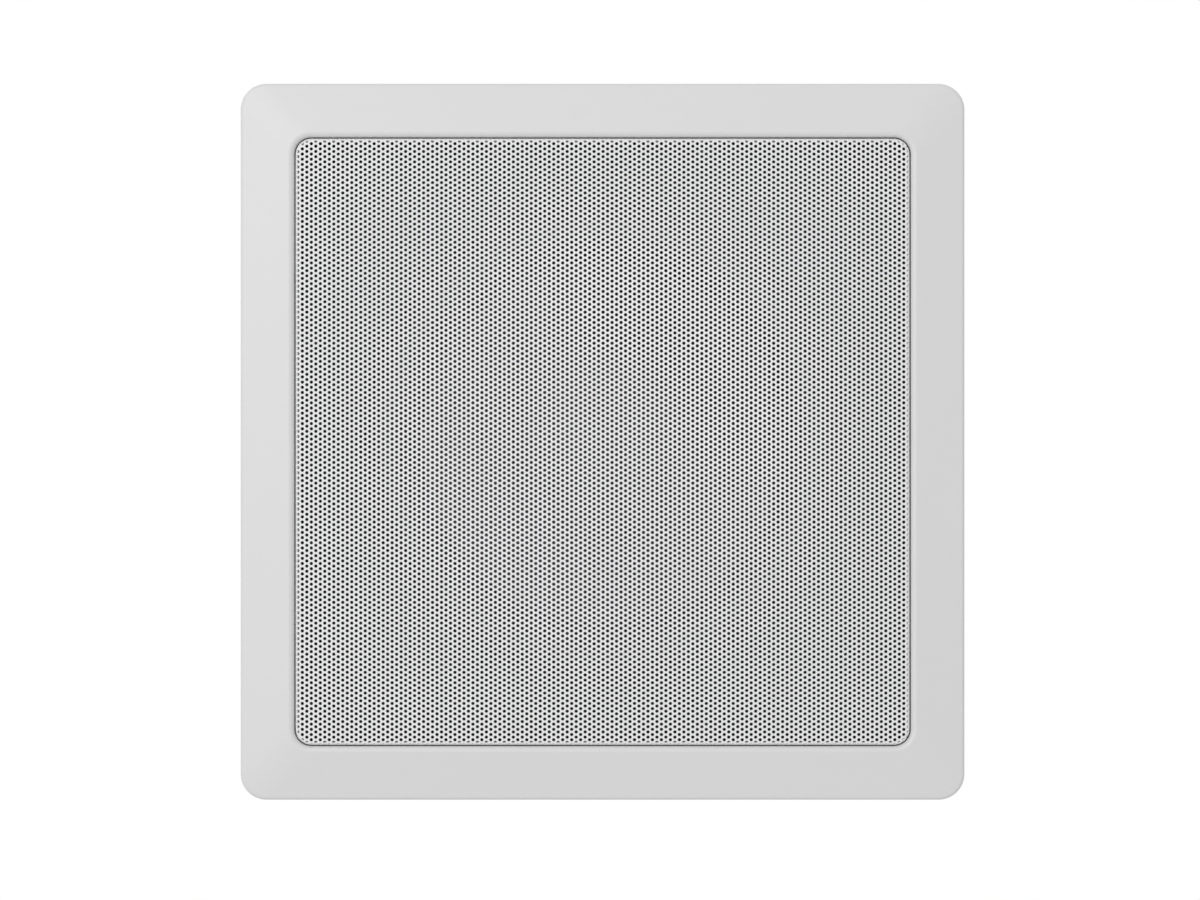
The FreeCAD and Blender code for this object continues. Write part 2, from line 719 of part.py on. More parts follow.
def driver_frame():
    """Gasket and cast basket, with windows between four spokes and a lug for the tags."""
    gasket = Piece("front_gasket")
    gasket.ring("gasket_inner", "driver_radius", "ledge_front", DRIVER_FRONT)
    hole = gasket.draw(depth="ledge_front")
    hole.circle("0", "driver_screw_circle", "screw_radius + screw_clearance")
    gasket.around(gasket.pocket(hole, "gasket_thickness"), DRIVER_SCREWS)

    piece = Piece("basket")
    taper = "(basket_mouth - basket_base) / (basket_depth - basket_plate)"
    plate_front = f"({MOTOR_FRONT} - basket_plate)"
    shelf_back = f"({SHELF_FRONT} + shelf_thickness)"
    piece.profile((
        ("driver_radius", DRIVER_FRONT), ("driver_radius", FLANGE_BACK),
        ("basket_mouth + basket_wall", FLANGE_BACK), ("basket_base + basket_wall", plate_front),
        ("basket_base + basket_wall", MOTOR_FRONT), ("basket_plate_hole", MOTOR_FRONT),
        ("basket_plate_hole", plate_front), ("basket_base", plate_front),
        (f"basket_mouth - {taper} * (shelf_depth + shelf_thickness)", shelf_back),
        ("shelf_inner", shelf_back), ("shelf_inner", SHELF_FRONT),
        (f"basket_mouth - {taper} * shelf_depth", SHELF_FRONT), ("basket_mouth", DRIVER_FRONT),
    ))
    window = piece.draw("XY_Plane")
    window.rounded_box("-window_half_width", "window_half_width",
                       f"{DRIVER_FRONT} + window_front", f"{DRIVER_FRONT} + window_rear", "window_corner")
    cut = piece.pocket(window, "driver_radius", to_front=True)
    piece.around(cut, 4)
    hole = piece.draw(depth=DRIVER_FRONT)
    hole.circle("0", "driver_screw_circle", "screw_radius + screw_clearance")
    piece.around(piece.pocket(hole, "basket_flange"), DRIVER_SCREWS)
    slope = f"basket_taper / ({plate_front} - {FLANGE_BACK})"
    root = "basket_base + basket_wall / 2"
    rib_front = f"({FLANGE_BACK} + spoke_rib_start)"
    rib_rise = f"{slope} * ({plate_front} - {rib_front})"
    rib = piece.draw("XY_Plane", swing=45)
    rib.polygon((
        (f"{root} + {rib_rise}", rib_front),
        (f"{root} + {rib_rise} + basket_wall / 2 + spoke_rib_height", rib_front),
        ("basket_base + basket_wall", plate_front), (root, plate_front),
    ))
    spine = piece.pad(rib, "spoke_rib_width")
    spine.SideType = "Symmetric"
    piece.around(spine, 4)
    lug = piece.draw(depth=LUG_FRONT, turn=-45)
    lug.box("lug_inner", "lug_outer", "-lug_half_width", "lug_half_width")
    piece.pad(lug, "lug_thickness")
    rivets = piece.draw(depth=LUG_FRONT, turn=-45)
    for side in ("-1", "1"):
        rivets.circle("rivet_place", f"{side} * tag_spacing / 2", "rivet_radius + pilot_clearance")
    piece.pocket(rivets, "lug_thickness")
    way = piece.draw(depth=f"{DRIVER_FRONT} + lead_hole_front", turn=-45)
    way.box("shelf_inner", "lug_outer", "-lead_hole_half", "lead_hole_half")
    piece.pocket(way, "lead_hole_height")


def moving_parts():
    """Cone, dust cap, voice coil, and the surround and spider that carry them."""
    piece = Piece("surround")
    drawing = piece.draw("XY_Plane")
    front = f"({DRIVER_FRONT} - surround_sheet)"
    middle = "(surround_roll_outer + surround_roll_inner) / 2"
    roll = "(surround_roll_outer - surround_roll_inner) / 2"
    drawing.arc_profile(
        (
            ("surround_outer", front), ("surround_roll_outer", front), ("surround_roll_inner", front),
            ("surround_inner", front), ("surround_inner", DRIVER_FRONT),
            ("surround_roll_inner + surround_sheet", DRIVER_FRONT),
            ("surround_roll_inner + surround_sheet", front),
            ("surround_roll_outer - surround_sheet", front),
            ("surround_roll_outer - surround_sheet", DRIVER_FRONT), ("surround_outer", DRIVER_FRONT),
        ),
        {
            1: ((middle, f"{front} - {roll}"), "DistanceY", front),
            6: ((middle, f"{front} - {roll} + surround_sheet"), "DistanceY", front),
        },
    )
    piece.turn(drawing)

    cone = Piece("cone")
    bend = "(cone_radius - cone_rim)"
    neck = f"({NECK_INNER} + neck_thickness)"
    cone.profile((
        ("cone_radius", DRIVER_FRONT), (bend, DRIVER_FRONT), (neck, NECK_FRONT), (NECK_INNER, NECK_FRONT),
        (NECK_INNER, f"{NECK_FRONT} + neck_length"), (neck, f"{NECK_FRONT} + neck_length"),
        (neck, f"{NECK_FRONT} + cone_slant"), (bend, f"{DRIVER_FRONT} + cone_slant"),
        (bend, f"{DRIVER_FRONT} + cone_thickness"), ("cone_radius", f"{DRIVER_FRONT} + cone_thickness"),
    ))

    cap = Piece("dust_cap")
    seat = f"({DRIVER_FRONT} + ({bend} - cap_radius) * {CONE_SLOPE} - glue_gap)"
    apex = f"({seat} - cap_rise)"
    inner = "(cap_radius - cap_sheet)"
    drawing = cap.draw("XY_Plane")
    drawing.arc_profile(
        (("cap_radius", seat), ("0", apex), ("0", f"{apex} + cap_sheet"), (inner, seat)),
        {
            0: (("cap_radius * 0.55", f"{apex} + cap_rise * 0.3"), "DistanceX", "0"),
            2: (("cap_radius * 0.55", f"{apex} + cap_rise * 0.3 + cap_sheet"), "DistanceX", "0"),
        },
    )
    cap.turn(drawing)

    front = f"({NECK_FRONT} - glue_gap)"
    end = f"({front} + former_length)"
    Piece("coil_former").ring("former_inner", FORMER_OUTER, front, end)
    Piece("coil_winding").ring(FORMER_OUTER, f"{FORMER_OUTER} + winding_build",
                               f"{end} - winding_length - 2 * glue_gap", f"{end} - 2 * glue_gap")

    spider = Piece("spider")
    middle = f"({SHELF_FRONT} - spider_sheet)"
    waves = 6
    step = f"(spider_lip - spider_flat) / {waves}"
    crests = [
        (f"spider_flat + {i} * {step}", f"{middle} - spider_wave" if i % 2 else middle)
        for i in range(waves + 1)
    ]
    upper = [(f"{FORMER_OUTER} + glue_gap", middle)] + crests + [("spider_outer", middle)]
    lower = [(x, f"{y} + spider_sheet") for x, y in reversed(upper)]
    spider.profile(upper + lower)


def motor():
    """Top plate, ferrite ring and yoke with its vented pole."""
    Piece("top_plate").disc("gap_radius", "top_plate_radius", MOTOR_FRONT, MAGNET_FRONT, "motor_chamfer")
    Piece("magnet").disc("magnet_bore", "magnet_radius", MAGNET_FRONT, YOKE_FRONT, "motor_chamfer")
    Piece("yoke").profile((
        ("vent_radius + vent_flare", MOTOR_FRONT), ("pole_radius", MOTOR_FRONT),
        ("pole_radius", YOKE_FRONT), ("yoke_radius", YOKE_FRONT),
        ("yoke_radius", f"{YOKE_BACK} - motor_chamfer"), ("yoke_radius - motor_chamfer", YOKE_BACK),
        ("vent_radius + vent_flare", YOKE_BACK),
        ("vent_radius", f"{YOKE_BACK} - vent_flare"), ("vent_radius", f"{MOTOR_FRONT} + vent_flare"),
    ))


def tag_parts():
    """Fibre strip on the basket's lug, and the two brass tags riveted to it."""
    strip = Piece("tag_strip")
    board = strip.draw(depth=LUG_BACK, turn=-45)
    board.box("lug_outer - strip_width", "lug_outer", "-strip_length / 2", "strip_length / 2")
    strip.pad(board, "strip_thickness")
    holes = strip.draw(depth=LUG_BACK, turn=-45)
    tags = Piece("solder_tags", several=True)
    blades = tags.draw(depth=f"{LUG_BACK} + strip_thickness", turn=-45)
    shanks = tags.draw(depth=LUG_FRONT, turn=-45)
    heads = tags.draw(depth=LUG_FRONT, turn=-45)
    for side in ("-1", "1"):
        middle = f"{side} * tag_spacing / 2"
        holes.circle("rivet_place", middle, "rivet_radius + pilot_clearance")
        blades.box("tag_inner", "tag_outer", f"{middle} - tag_width / 2", f"{middle} + tag_width / 2")
        shanks.circle("rivet_place", middle, "rivet_radius")
        heads.circle("rivet_place", middle, "rivet_head")
    strip.pocket(holes, "strip_thickness")
    tags.pad(blades, "tag_sheet")
    tags.pad(shanks, "lug_thickness + strip_thickness")
    tags.pad(heads, "tag_sheet", to_front=True)


def terminal_block():
    """Push terminal on the ledge's back, with a tab and a wire hole for each pole."""
    piece = Piece("terminal_block")
    left, right = "block_left", "block_left + block_width"
    low, high = "-block_low", "-block_low + block_height"
    piece.pad(piece.draw(depth=LEDGE_BACK).box(left, right, low, high), "block_base")
    housing = piece.draw(depth=LEDGE_BACK)
    housing.rounded_box(f"{left} + block_ear", f"{right} - block_ear", low, high, "tab_gap * 3")
    piece.pad(housing, "block_rise")
    wells = piece.draw(depth=BLOCK_BACK)
    wires = piece.draw(depth=BLOCK_BACK)
    ears = piece.draw(depth=LEDGE_BACK)
    leads = piece.draw("XY_Plane", depth=f"-({high})")
    for side in ("-1", "1"):
        middle = f"{BLOCK_MIDDLE} + {side} * tab_spacing / 2"
        wells.box(f"{middle} - tab_width / 2 - tab_gap", f"{middle} + tab_width / 2 + tab_gap",
                  f"{TAB_HIGH} - tab_height / 2 - tab_gap", f"{TAB_HIGH} + tab_height / 2 + tab_gap")
        wires.circle(middle, HOLE_HIGH, "wire_hole_radius")
        ears.circle(f"{BLOCK_MIDDLE} + {side} * (block_width - block_ear) / 2", f"{low} + block_height / 2",
                    "screw_radius + screw_clearance")
        leads.circle(middle, f"{LEDGE_BACK} + lead_entry - block_base", "lead_radius + glue_gap")
    piece.pocket(wells, "tab_pocket", to_front=True)
    piece.pocket(wires, "wire_hole_depth", to_front=True)
    piece.pocket(ears, "block_base")
    piece.pocket(leads, "lead_hole_depth")
    for colour, side in (("red", "-1"), ("black", "1")):
        tab = Piece(f"push_tab_{colour}")
        middle = f"{BLOCK_MIDDLE} + {side} * tab_spacing / 2"
        key = tab.draw(depth=f"{BLOCK_BACK} + tab_out")
        key.box(f"{middle} - tab_width / 2", f"{middle} + tab_width / 2",
                f"{TAB_HIGH} - tab_height / 2", f"{TAB_HIGH} + tab_height / 2")
        tab.pad(key, "tab_length", to_front=True)
        back = worth(f"{BLOCK_BACK} + tab_out")
        tab.fillet("tab_gap * 2", lambda edge, back=back: lies_at(edge, back))


def clamps():
    """Screw, push-on retainer and swinging dog at each corner, all turning the same way."""
    for corner, (angle, across, up) in CORNERS.items():
        turned = FreeCAD.Rotation(FreeCAD.Vector(0, 1, 0), angle)
        screw = Piece(f"clamp_screw_{corner}")
        head_front = f"({BAFFLE_FRONT} - clamp_head_height)"
        screw.profile((
            ("0", head_front), ("clamp_head_radius * 0.75", head_front),
            ("clamp_head_radius", f"{head_front} + clamp_head_height * 0.4"),
            ("clamp_head_radius", BAFFLE_FRONT), ("clamp_screw_radius", BAFFLE_FRONT),
            ("clamp_screw_radius", "clamp_screw_end - clamp_screw_radius / 2"),
            ("clamp_screw_radius / 2", "clamp_screw_end"), ("0", "clamp_screw_end"),
        ))
        for long, wide in (("clamp_recess_length", "clamp_recess_width"),
                           ("clamp_recess_width", "clamp_recess_length")):
            cross = screw.draw(depth=head_front)
            cross.box(f"-{long} / 2", f"{long} / 2", f"-{wide} / 2", f"{wide} / 2")
            screw.pocket(cross, "clamp_recess_depth")
        retainer = Piece(f"clamp_retainer_{corner}")
        retainer.ring("clamp_screw_radius + pilot_clearance", "retainer_radius", "retainer_place",
                      "retainer_place + retainer_thickness")
        dog = Piece(f"clamp_dog_{corner}")
        front = "(retainer_place - dog_hub_length)"
        dog.pad(dog.draw(depth=front).circle("0", "0", "dog_hub_radius"), "dog_hub_length")
        arm = dog.draw(depth=front)
        arm.rounded_box("-dog_reach", "dog_arm_half", "-dog_arm_half", "dog_arm_half", "dog_tip_round")
        dog.pad(arm, "dog_arm_height")
        foot = dog.draw(depth=front)
        foot.rounded_box("-dog_reach", "-dog_reach + dog_foot_length", "-dog_arm_half", "dog_arm_half",
                         "dog_tip_round")
        dog.pad(foot, "dog_foot_step", to_front=True)
        bore = dog.draw(depth=front).circle("0", "0", "clamp_screw_radius + dog_bore_clearance")
        dog.pocket(bore, "dog_hub_length")
        for made in (screw, retainer, dog):
            made.body.Placement = FreeCAD.Placement(FreeCAD.Vector(), turned)
            made.body.setExpression("Placement.Base.x", bound(f"{across} * clamp_across"))
            made.body.setExpression("Placement.Base.z", bound(f"{up} * clamp_up"))


def swept(label, routes, radius):
    """Round cords along straight runs joined by tangent arcs: one solid for each route."""
    solids = []
    for bend, points in routes:
        edges = []
        start = points[0]
        for before, corner, after in zip(points, points[1:], points[2:]):
            back = (before - corner).normalize()
            ahead = (after - corner).normalize()
            run = bend * (1 + back.dot(ahead)) / back.cross(ahead).Length
            first, last = corner + back * run, corner + ahead * run
            inward = (back + ahead).normalize()
            centre_gap = (bend * bend + run * run) ** 0.5
            edges.append(Part.LineSegment(start, first).toShape())
            edges.append(Part.Arc(first, corner + inward * (centre_gap - bend), last).toShape())
            start = last
        edges.append(Part.LineSegment(start, points[-1]).toShape())
        path = Part.Wire(edges)
        circle = Part.makeCircle(radius, points[0], points[1] - points[0])
        solids.append(path.makePipeShell([Part.Wire([circle])], True, True))
    made = document.addObject("Part::Feature", "".join(w.title() for w in label.split("_")))
    made.Label = label
    made.Shape = Part.makeCompound(solids) if len(solids) > 1 else solids[0]
    pieces.append(made)


def cords():
    """Insulated leads from the block to the tags, their receptacles, and the cone's tinsel leads."""
    outward = FreeCAD.Vector(1, 0, -1).normalize()
    beside = FreeCAD.Vector(1, 0, 1).normalize()
    into = FreeCAD.Vector(0, 1, 0)
    blade = worth(f"{LUG_BACK} + strip_thickness + tag_sheet / 2")
    receptacles = Piece("lead_receptacles", several=True)
    boxes = receptacles.draw(
        depth=f"{LUG_BACK} + strip_thickness + tag_sheet / 2 - receptacle_height / 2", turn=-45)
    blades = receptacles.draw(depth=f"{LUG_BACK} + strip_thickness - pilot_clearance", turn=-45)
    near = "lug_outer + glue_gap * 3"
    far = f"{near} + receptacle_length"
    tinsel = []
    for colour, side in (("red", -1), ("black", 1)):
        middle = f"{side} * tag_spacing / 2"
        boxes.box(near, far, f"{middle} - receptacle_width / 2", f"{middle} + receptacle_width / 2")
        blades.box(near, "tag_outer + pilot_clearance", f"{middle} - tag_width / 2 - pilot_clearance",
                   f"{middle} + tag_width / 2 + pilot_clearance")
        line = beside * worth(middle) + into * blade
        start = outward * worth(far) + line
        entry_x = worth(f"{BLOCK_MIDDLE} + {side} * tab_spacing / 2")
        entry_y = worth(f"{LEDGE_BACK} + lead_entry - block_base")
        top = worth("-block_low + block_height")
        points = (
            start,
            start + outward * 7,
            FreeCAD.Vector(entry_x, entry_y, top + 8),
            FreeCAD.Vector(entry_x, entry_y, top - worth("lead_hole_depth") + worth("glue_gap")),
        )
        swept(f"lead_{colour}", ((worth("3 * lead_radius"), points),), worth("lead_radius"))
        cone_end = worth(f"{DRIVER_FRONT} + cone_slant + 23 * {CONE_SLOPE} + 2 * tinsel_radius")
        front = worth(f"{LUG_FRONT} - tag_sheet - pilot_clearance")
        hole = worth(f"{DRIVER_FRONT} + lead_hole_front + lead_hole_height / 2")
        across = beside * worth(middle)
        tinsel.append((worth("4 * tinsel_radius"), (
            outward * worth("rivet_place") + across + into * front,
            outward * worth("rivet_place") + across + into * hole,
            outward * (worth("shelf_inner") + 4) + across + into * hole,
            outward * (worth("cone_radius - cone_rim") - 23) + across + into * cone_end,
        )))
    receptacles.pad(boxes, "receptacle_height")
    receptacles.pocket(blades, "tag_sheet + 2 * pilot_clearance")
    swept("tinsel_leads", tinsel, worth("tinsel_radius"))


def write_parts():
    """Check every shape and write one file for each piece."""
    document.recompute()
    for item in document.Objects:
        if {"Invalid", "Error"}.intersection(item.State):
            raise RuntimeError(f"{item.Label} failed: {item.State}")
    os.makedirs("parts", exist_ok=True)
    for item in pieces:
        shape = item.Shape
        if shape.isNull() or not shape.isValid() or not shape.Solids:
            raise RuntimeError(f"{item.Label} has no sound shape")
        shape.exportStep(f"parts/{item.Label}.step")


trim_frame()
grille()
baffle()
screws()
driver_frame()
moving_parts()
motor()
tag_parts()
terminal_block()
clamps()
cords()
write_parts()
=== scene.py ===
"""Finishes, pressed grille, studio and camera for a square in-ceiling subwoofer."""
import logging
import math
from collections.abc import Callable, Iterable
from dataclasses import dataclass, field
from enum import Enum

import bmesh
import bpy
import numpy as np
from mathutils import Matrix, Vector


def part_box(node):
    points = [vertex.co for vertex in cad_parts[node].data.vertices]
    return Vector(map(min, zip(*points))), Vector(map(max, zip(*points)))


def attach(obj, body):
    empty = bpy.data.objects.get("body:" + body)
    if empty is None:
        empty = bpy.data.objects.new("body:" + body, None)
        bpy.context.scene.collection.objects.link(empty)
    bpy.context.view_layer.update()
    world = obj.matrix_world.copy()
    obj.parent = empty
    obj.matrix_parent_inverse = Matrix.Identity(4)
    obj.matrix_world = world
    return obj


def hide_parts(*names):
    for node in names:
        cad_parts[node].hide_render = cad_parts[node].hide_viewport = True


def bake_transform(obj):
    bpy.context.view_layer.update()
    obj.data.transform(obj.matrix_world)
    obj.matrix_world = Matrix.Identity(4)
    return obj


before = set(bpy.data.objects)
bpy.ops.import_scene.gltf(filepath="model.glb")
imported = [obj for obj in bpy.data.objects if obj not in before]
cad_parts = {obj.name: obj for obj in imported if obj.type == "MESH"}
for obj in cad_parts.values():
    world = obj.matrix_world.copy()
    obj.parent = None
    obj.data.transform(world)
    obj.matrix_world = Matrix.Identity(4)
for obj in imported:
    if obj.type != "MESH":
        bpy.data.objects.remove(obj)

log = logging.getLogger("subwoofer")
Colour = tuple[float, float, float]
Place = tuple[float, float, float]
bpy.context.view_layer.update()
# Points this near each other, in metres, are one, and no length to divide by is shorter than the second.
SAME_POINT = 1e-6
NEARLY_NOUGHT = 1e-12
# The Mix node's sockets for colours share their names with its sockets for numbers.
MIX_COLOURS = (6, 7)
MIXED_COLOUR = 2
CORNERS = {"top_right": (1, 1), "bottom_right": (1, -1), "bottom_left": (-1, -1), "top_left": (-1, 1)}


class Axis(Enum):
    """A direction of the part's frame along which a pattern runs."""

    ACROSS = "X"
    DEPTH = "Y"
    UP = "Z"


class Signal:
    """A socket's output that takes part in Python arithmetic."""

    def __init__(self, graph: "Graph", socket: bpy.types.NodeSocket) -> None:
        """Wrap one output socket of a graph."""
        self.graph = graph
        self.socket = socket

    def _with(self, operation: str, first: object, second: object) -> "Signal":
        """Return the result of one Math node."""
        node = self.graph.node("ShaderNodeMath", {"operation": operation}, {0: first, 1: second})
        return Signal(self.graph, node.outputs[0])

    def __add__(self, other: "Signal | float") -> "Signal":
        """Add a value."""
        return self._with("ADD", self, other)

    __radd__ = __add__

    def __sub__(self, other: "Signal | float") -> "Signal":
        """Take a value away."""
        return self._with("SUBTRACT", self, other)

    def __rsub__(self, other: float) -> "Signal":
        """Take this value away from a number."""
        return self._with("SUBTRACT", other, self)

    def __mul__(self, other: "Signal | float") -> "Signal":
        """Multiply by a value."""
        return self._with("MULTIPLY", self, other)

    __rmul__ = __mul__

    def above(self, limit: float) -> "Signal":
        """Return one where this value passes a limit, and nought elsewhere."""
        return self._with("GREATER_THAN", self, limit)

    def at_least(self, other: bpy.types.NodeSocket) -> "Signal":
        """Return the greater of this value and another."""
        return self._with("MAXIMUM", self, other)


class Graph:
    """A node tree of a material or of the world."""

    def __init__(self, tree: bpy.types.NodeTree) -> None:
        """Wrap a node tree."""
        self.tree = tree

    def only(self, kind: str) -> bpy.types.Node:
        """Return the node of a kind that the tree starts with."""
        return next(node for node in self.tree.nodes if node.type == kind)

    def node(
        self,
        kind: str,
        settings: dict[str, object] | None = None,
        inputs: dict[int | str, object] | None = None,
    ) -> bpy.types.Node:
        """Add a node.

        Args:
            kind: The node's type.
            settings: Properties that are set before the sockets.
            inputs: Values, sockets or signals for its sockets.

        Returns:
            The new node.
        """
        made = self.tree.nodes.new(kind)
        for name, setting in (settings or {}).items():
            setattr(made, name, setting)
        for key, value in (inputs or {}).items():
            self.feed(made.inputs[key], value)
        return made

    def feed(self, socket: bpy.types.NodeSocket, value: object) -> None:
        """Link a socket or signal, or set a plain value.

        Args:
            socket: The input that is fed.
            value: What feeds it.
        """
        if isinstance(value, Signal):
            value = value.socket
        if isinstance(value, bpy.types.NodeSocket):
            self.tree.links.new(value, socket)
        else:
            socket.default_value = value

    def seen(self) -> Signal:
        """Tell the rays that show the surround, seen or mirrored, from the rest.

        Returns:
            One for those rays, and nought for the rest.
        """
        path = self.node("ShaderNodeLightPath")
        shown = Signal(self, path.outputs["Is Camera Ray"])
        for kind in ("Is Glossy Ray", "Is Transmission Ray"):
            shown = shown.at_least(path.outputs[kind])
        return shown


class Shader(Graph):
    """A material's node tree with one Principled shader."""

    def __init__(self, name: str) -> None:
        """Start a material.

        Args:
            name: The material's name.
        """
        self.material = bpy.data.materials.new(name)
        self.material.use_nodes = True
        super().__init__(self.material.node_tree)
        self.surface = self.only("BSDF_PRINCIPLED")
        self._places: bpy.types.NodeSocket | None = None

    def set(self, **values: object) -> None:
        """Set the Principled shader's sockets, with underscores for spaces."""
        for name, value in values.items():
            self.feed(self.surface.inputs[name.replace("_", " ")], value)

    @property
    def places(self) -> bpy.types.NodeSocket:
        """Make the Object coordinates once and share them.

        Returns:
            The coordinates, in metres in the part's frame.
        """
        if self._places is None:
            self._places = self.node("ShaderNodeTexCoord").outputs["Object"]
        return self._places

    def along(self, axis: Axis) -> Signal:
        """Return one coordinate, in metres."""
        parted = self.node("ShaderNodeSeparateXYZ", inputs={0: self.places})
        return Signal(self, parted.outputs[axis.value])

    def radius(self) -> Signal:
        """Measure from the driver's axis.

        Returns:
            The distance, in metres.
        """
        flat = self.node(
            "ShaderNodeVectorMath", {"operation": "MULTIPLY"}, {0: self.places, 1: (1.0, 0.0, 1.0)})
        length = self.node("ShaderNodeVectorMath", {"operation": "LENGTH"}, {0: flat.outputs[0]})
        return Signal(self, length.outputs["Value"])

    def noise(self, scale: float, detail: float = 3.0) -> Signal:
        """Return soft noise from nought to one.

        Args:
            scale: Grains to the metre.
            detail: Octaves.

        Returns:
            The noise.
        """
        made = self.node(
            "ShaderNodeTexNoise", inputs={"Vector": self.places, "Scale": scale, "Detail": detail})
        return Signal(self, made.outputs[0])

    def noise_along(self, signal: Signal, scale: float) -> Signal:
        """Return soft noise that changes along a signal only."""
        inputs = {"W": signal, "Scale": scale, "Detail": 4.0}
        return Signal(self, self.node("ShaderNodeTexNoise", {"noise_dimensions": "1D"}, inputs).outputs[0])

    def cells(self, scale: float) -> Signal:
        """Return the distance to the nearest grain of a random packing."""
        made = self.node("ShaderNodeTexVoronoi", inputs={"Vector": self.places, "Scale": scale})
        return Signal(self, made.outputs["Distance"])

    def sine(self, signal: Signal, pitch: float) -> Signal:
        """Make an even wave along a signal.

        Args:
            signal: What the wave runs along, in metres.
            pitch: Its length, in metres.

        Returns:
            The wave, from nought to one.
        """
        turned = signal * (2 * math.pi / pitch)
        made = self.node("ShaderNodeMath", {"operation": "SINE"}, {0: turned})
        return Signal(self, made.outputs[0]) * 0.5 + 0.5

    def mix(
        self, share: Signal, first: Colour | bpy.types.NodeSocket, second: Colour
    ) -> bpy.types.NodeSocket:
        """Mix two colours.

        Args:
            share: How much of the second, from nought to one.
            first: A colour, or a socket that gives one.
            second: The other colour.

        Returns:
            The mixed colour.
        """
        colours = {
            socket: value if isinstance(value, bpy.types.NodeSocket) else (*value, 1.0)
            for socket, value in zip(MIX_COLOURS, (first, second), strict=True)
        }
        made = self.node("ShaderNodeMix", {"data_type": "RGBA"}, {0: share, **colours})
        return made.outputs[MIXED_COLOUR]

    def bump(self, height: Signal, depth: float) -> None:
        """Raise the surface by a height from nought to one times a depth, in metres."""
        made = self.node("ShaderNodeBump", inputs={"Height": height, "Distance": depth, "Strength": 1.0})
        self.set(Normal=made.outputs[0])


def shade(colour: Colour, factor: float) -> Colour:
    """Return a colour made darker or lighter by a factor."""
    return tuple(min(1.0, part * factor) for part in colour)


@dataclass(frozen=True)
class Finish:
    """A surface with a fine grain.

    Attributes:
        name: The material's name.
        colour: Its colour, linear.
        roughness: Its mean roughness.
        metallic: One for bare metal.
        grain: Grains to the metre.
        relief: Depth of the grain, in metres.
        mottle: How far the colour wanders, as a share.
        unevenness: How far the roughness follows the grain.
        cloud_size: How many grains wide the clouds of colour are.
        cloud_share: How much of the mottle is clouds, and not grain.
    """

    name: str
    colour: Colour
    roughness: float = 0.5
    metallic: float = 0.0
    grain: float = 1500.0
    relief: float = 0.00002
    mottle: float = 0.06
    unevenness: float = 0.12
    cloud_size: float = 18.0
    cloud_share: float = 0.6

    def pattern(self, shader: Shader) -> Signal:
        """Return the height of the surface's detail, from nought to one."""
        return shader.noise(self.grain)

    def colouring(self, shader: Shader, height: Signal) -> bpy.types.NodeSocket:
        """Spread the colour over the surface.

        Args:
            shader: The material's shader.
            height: The surface's detail, from nought to one.

        Returns:
            The colour.
        """
        clouds = shader.noise(self.grain / self.cloud_size, detail=2.0)
        share = clouds * self.cloud_share + height * (1 - self.cloud_share)
        return shader.mix(share, shade(self.colour, 1 - self.mottle), shade(self.colour, 1 + self.mottle))

    def build(self) -> bpy.types.Material:
        """Make the finish.

        Returns:
            A new material.
        """
        shader = Shader(self.name)
        height = self.pattern(shader)
        shader.set(
            Base_Color=self.colouring(shader, height),
            Roughness=height * self.unevenness + (self.roughness - self.unevenness / 2),
            Metallic=self.metallic,
        )
        if self.relief:
            shader.bump(height, self.relief)
        return shader.material


@dataclass(frozen=True)
class SpeckedMoulding(Finish):
    """Satin moulding with one faint scuff.

    Attributes:
        scuff: The scuff's middle.
        scuff_size: Its radius.
        scuff_shade: Its tone, as a share of the moulding's.
        scuff_share: How much of that tone shows in its middle.
    """

    scuff: Place = (0.0753, -0.007, -0.1254)
    scuff_size: float = 0.0007
    scuff_shade: float = 0.8
    scuff_share: float = 0.5

    def colouring(self, shader: Shader, height: Signal) -> bpy.types.NodeSocket:
        """Spread the colour, a shade darker within the scuff.

        Args:
            shader: The material's shader.
            height: The surface's detail, from nought to one.

        Returns:
            The colour.
        """
        away = shader.node(
            "ShaderNodeVectorMath", {"operation": "DISTANCE"}, {0: shader.places, 1: self.scuff})
        near = 1.0 - Signal(shader, away.outputs["Value"]) * (1 / self.scuff_size)
        share = near.above(0.0) * near * self.scuff_share
        return shader.mix(share, super().colouring(shader, height), shade(self.colour, self.scuff_shade))


@dataclass(frozen=True)
class TurnedMetal(Finish):
    """Metal with uneven tool rings about the driver's axis.

    Attributes:
        cloud_size: How many grains wide the plating's clouds are.
        cloud_share: How much of the mottle is clouds, and not rings.
        rings: Rings to the metre.
        ring_share: How much of the detail is rings, and not grain.
    """

    cloud_size: float = 20.0
    cloud_share: float = 0.4
    rings: float = 900.0
    ring_share: float = 0.8

    def pattern(self, shader: Shader) -> Signal:
        """Return the rings, broken up a little by grain."""
        rings = shader.noise_along(shader.radius(), self.rings)
        return rings * self.ring_share + shader.noise(self.grain) * (1 - self.ring_share)


@dataclass(frozen=True)
class Ringed(Finish):
    """Pulp or rubber with shallow rings about the driver's axis and loose fibres.

    Attributes:
        pitch: Distance between rings.
        ring_share: How much of the detail is rings, and not fibres.
    """

    pitch: float = 0.006
    ring_share: float = 0.25

    def pattern(self, shader: Shader) -> Signal:
        """Return fibres over shallow rings."""
        rings = shader.sine(shader.radius(), self.pitch)
        return rings * self.ring_share + shader.noise(self.grain, detail=5.0) * (1 - self.ring_share)


@dataclass(frozen=True)
class Woven(Finish):
    """Resin treated cloth.

    Attributes:
        pitch: Distance between threads.
    """

    pitch: float = 0.0009

    def pattern(self, shader: Shader) -> Signal:
        """Return a plain weave of two waves."""
        across, upward = (shader.sine(shader.along(axis), self.pitch) for axis in (Axis.ACROSS, Axis.UP))
        return across * upward


@dataclass(frozen=True)
class Wound(Finish):
    """Turns of wire along the driver's axis.

    Attributes:
        pitch: Distance between turns.
    """

    pitch: float = 0.0004

    def pattern(self, shader: Shader) -> Signal:
        """Return one ridge for each turn."""
        return shader.sine(shader.along(Axis.DEPTH), self.pitch)


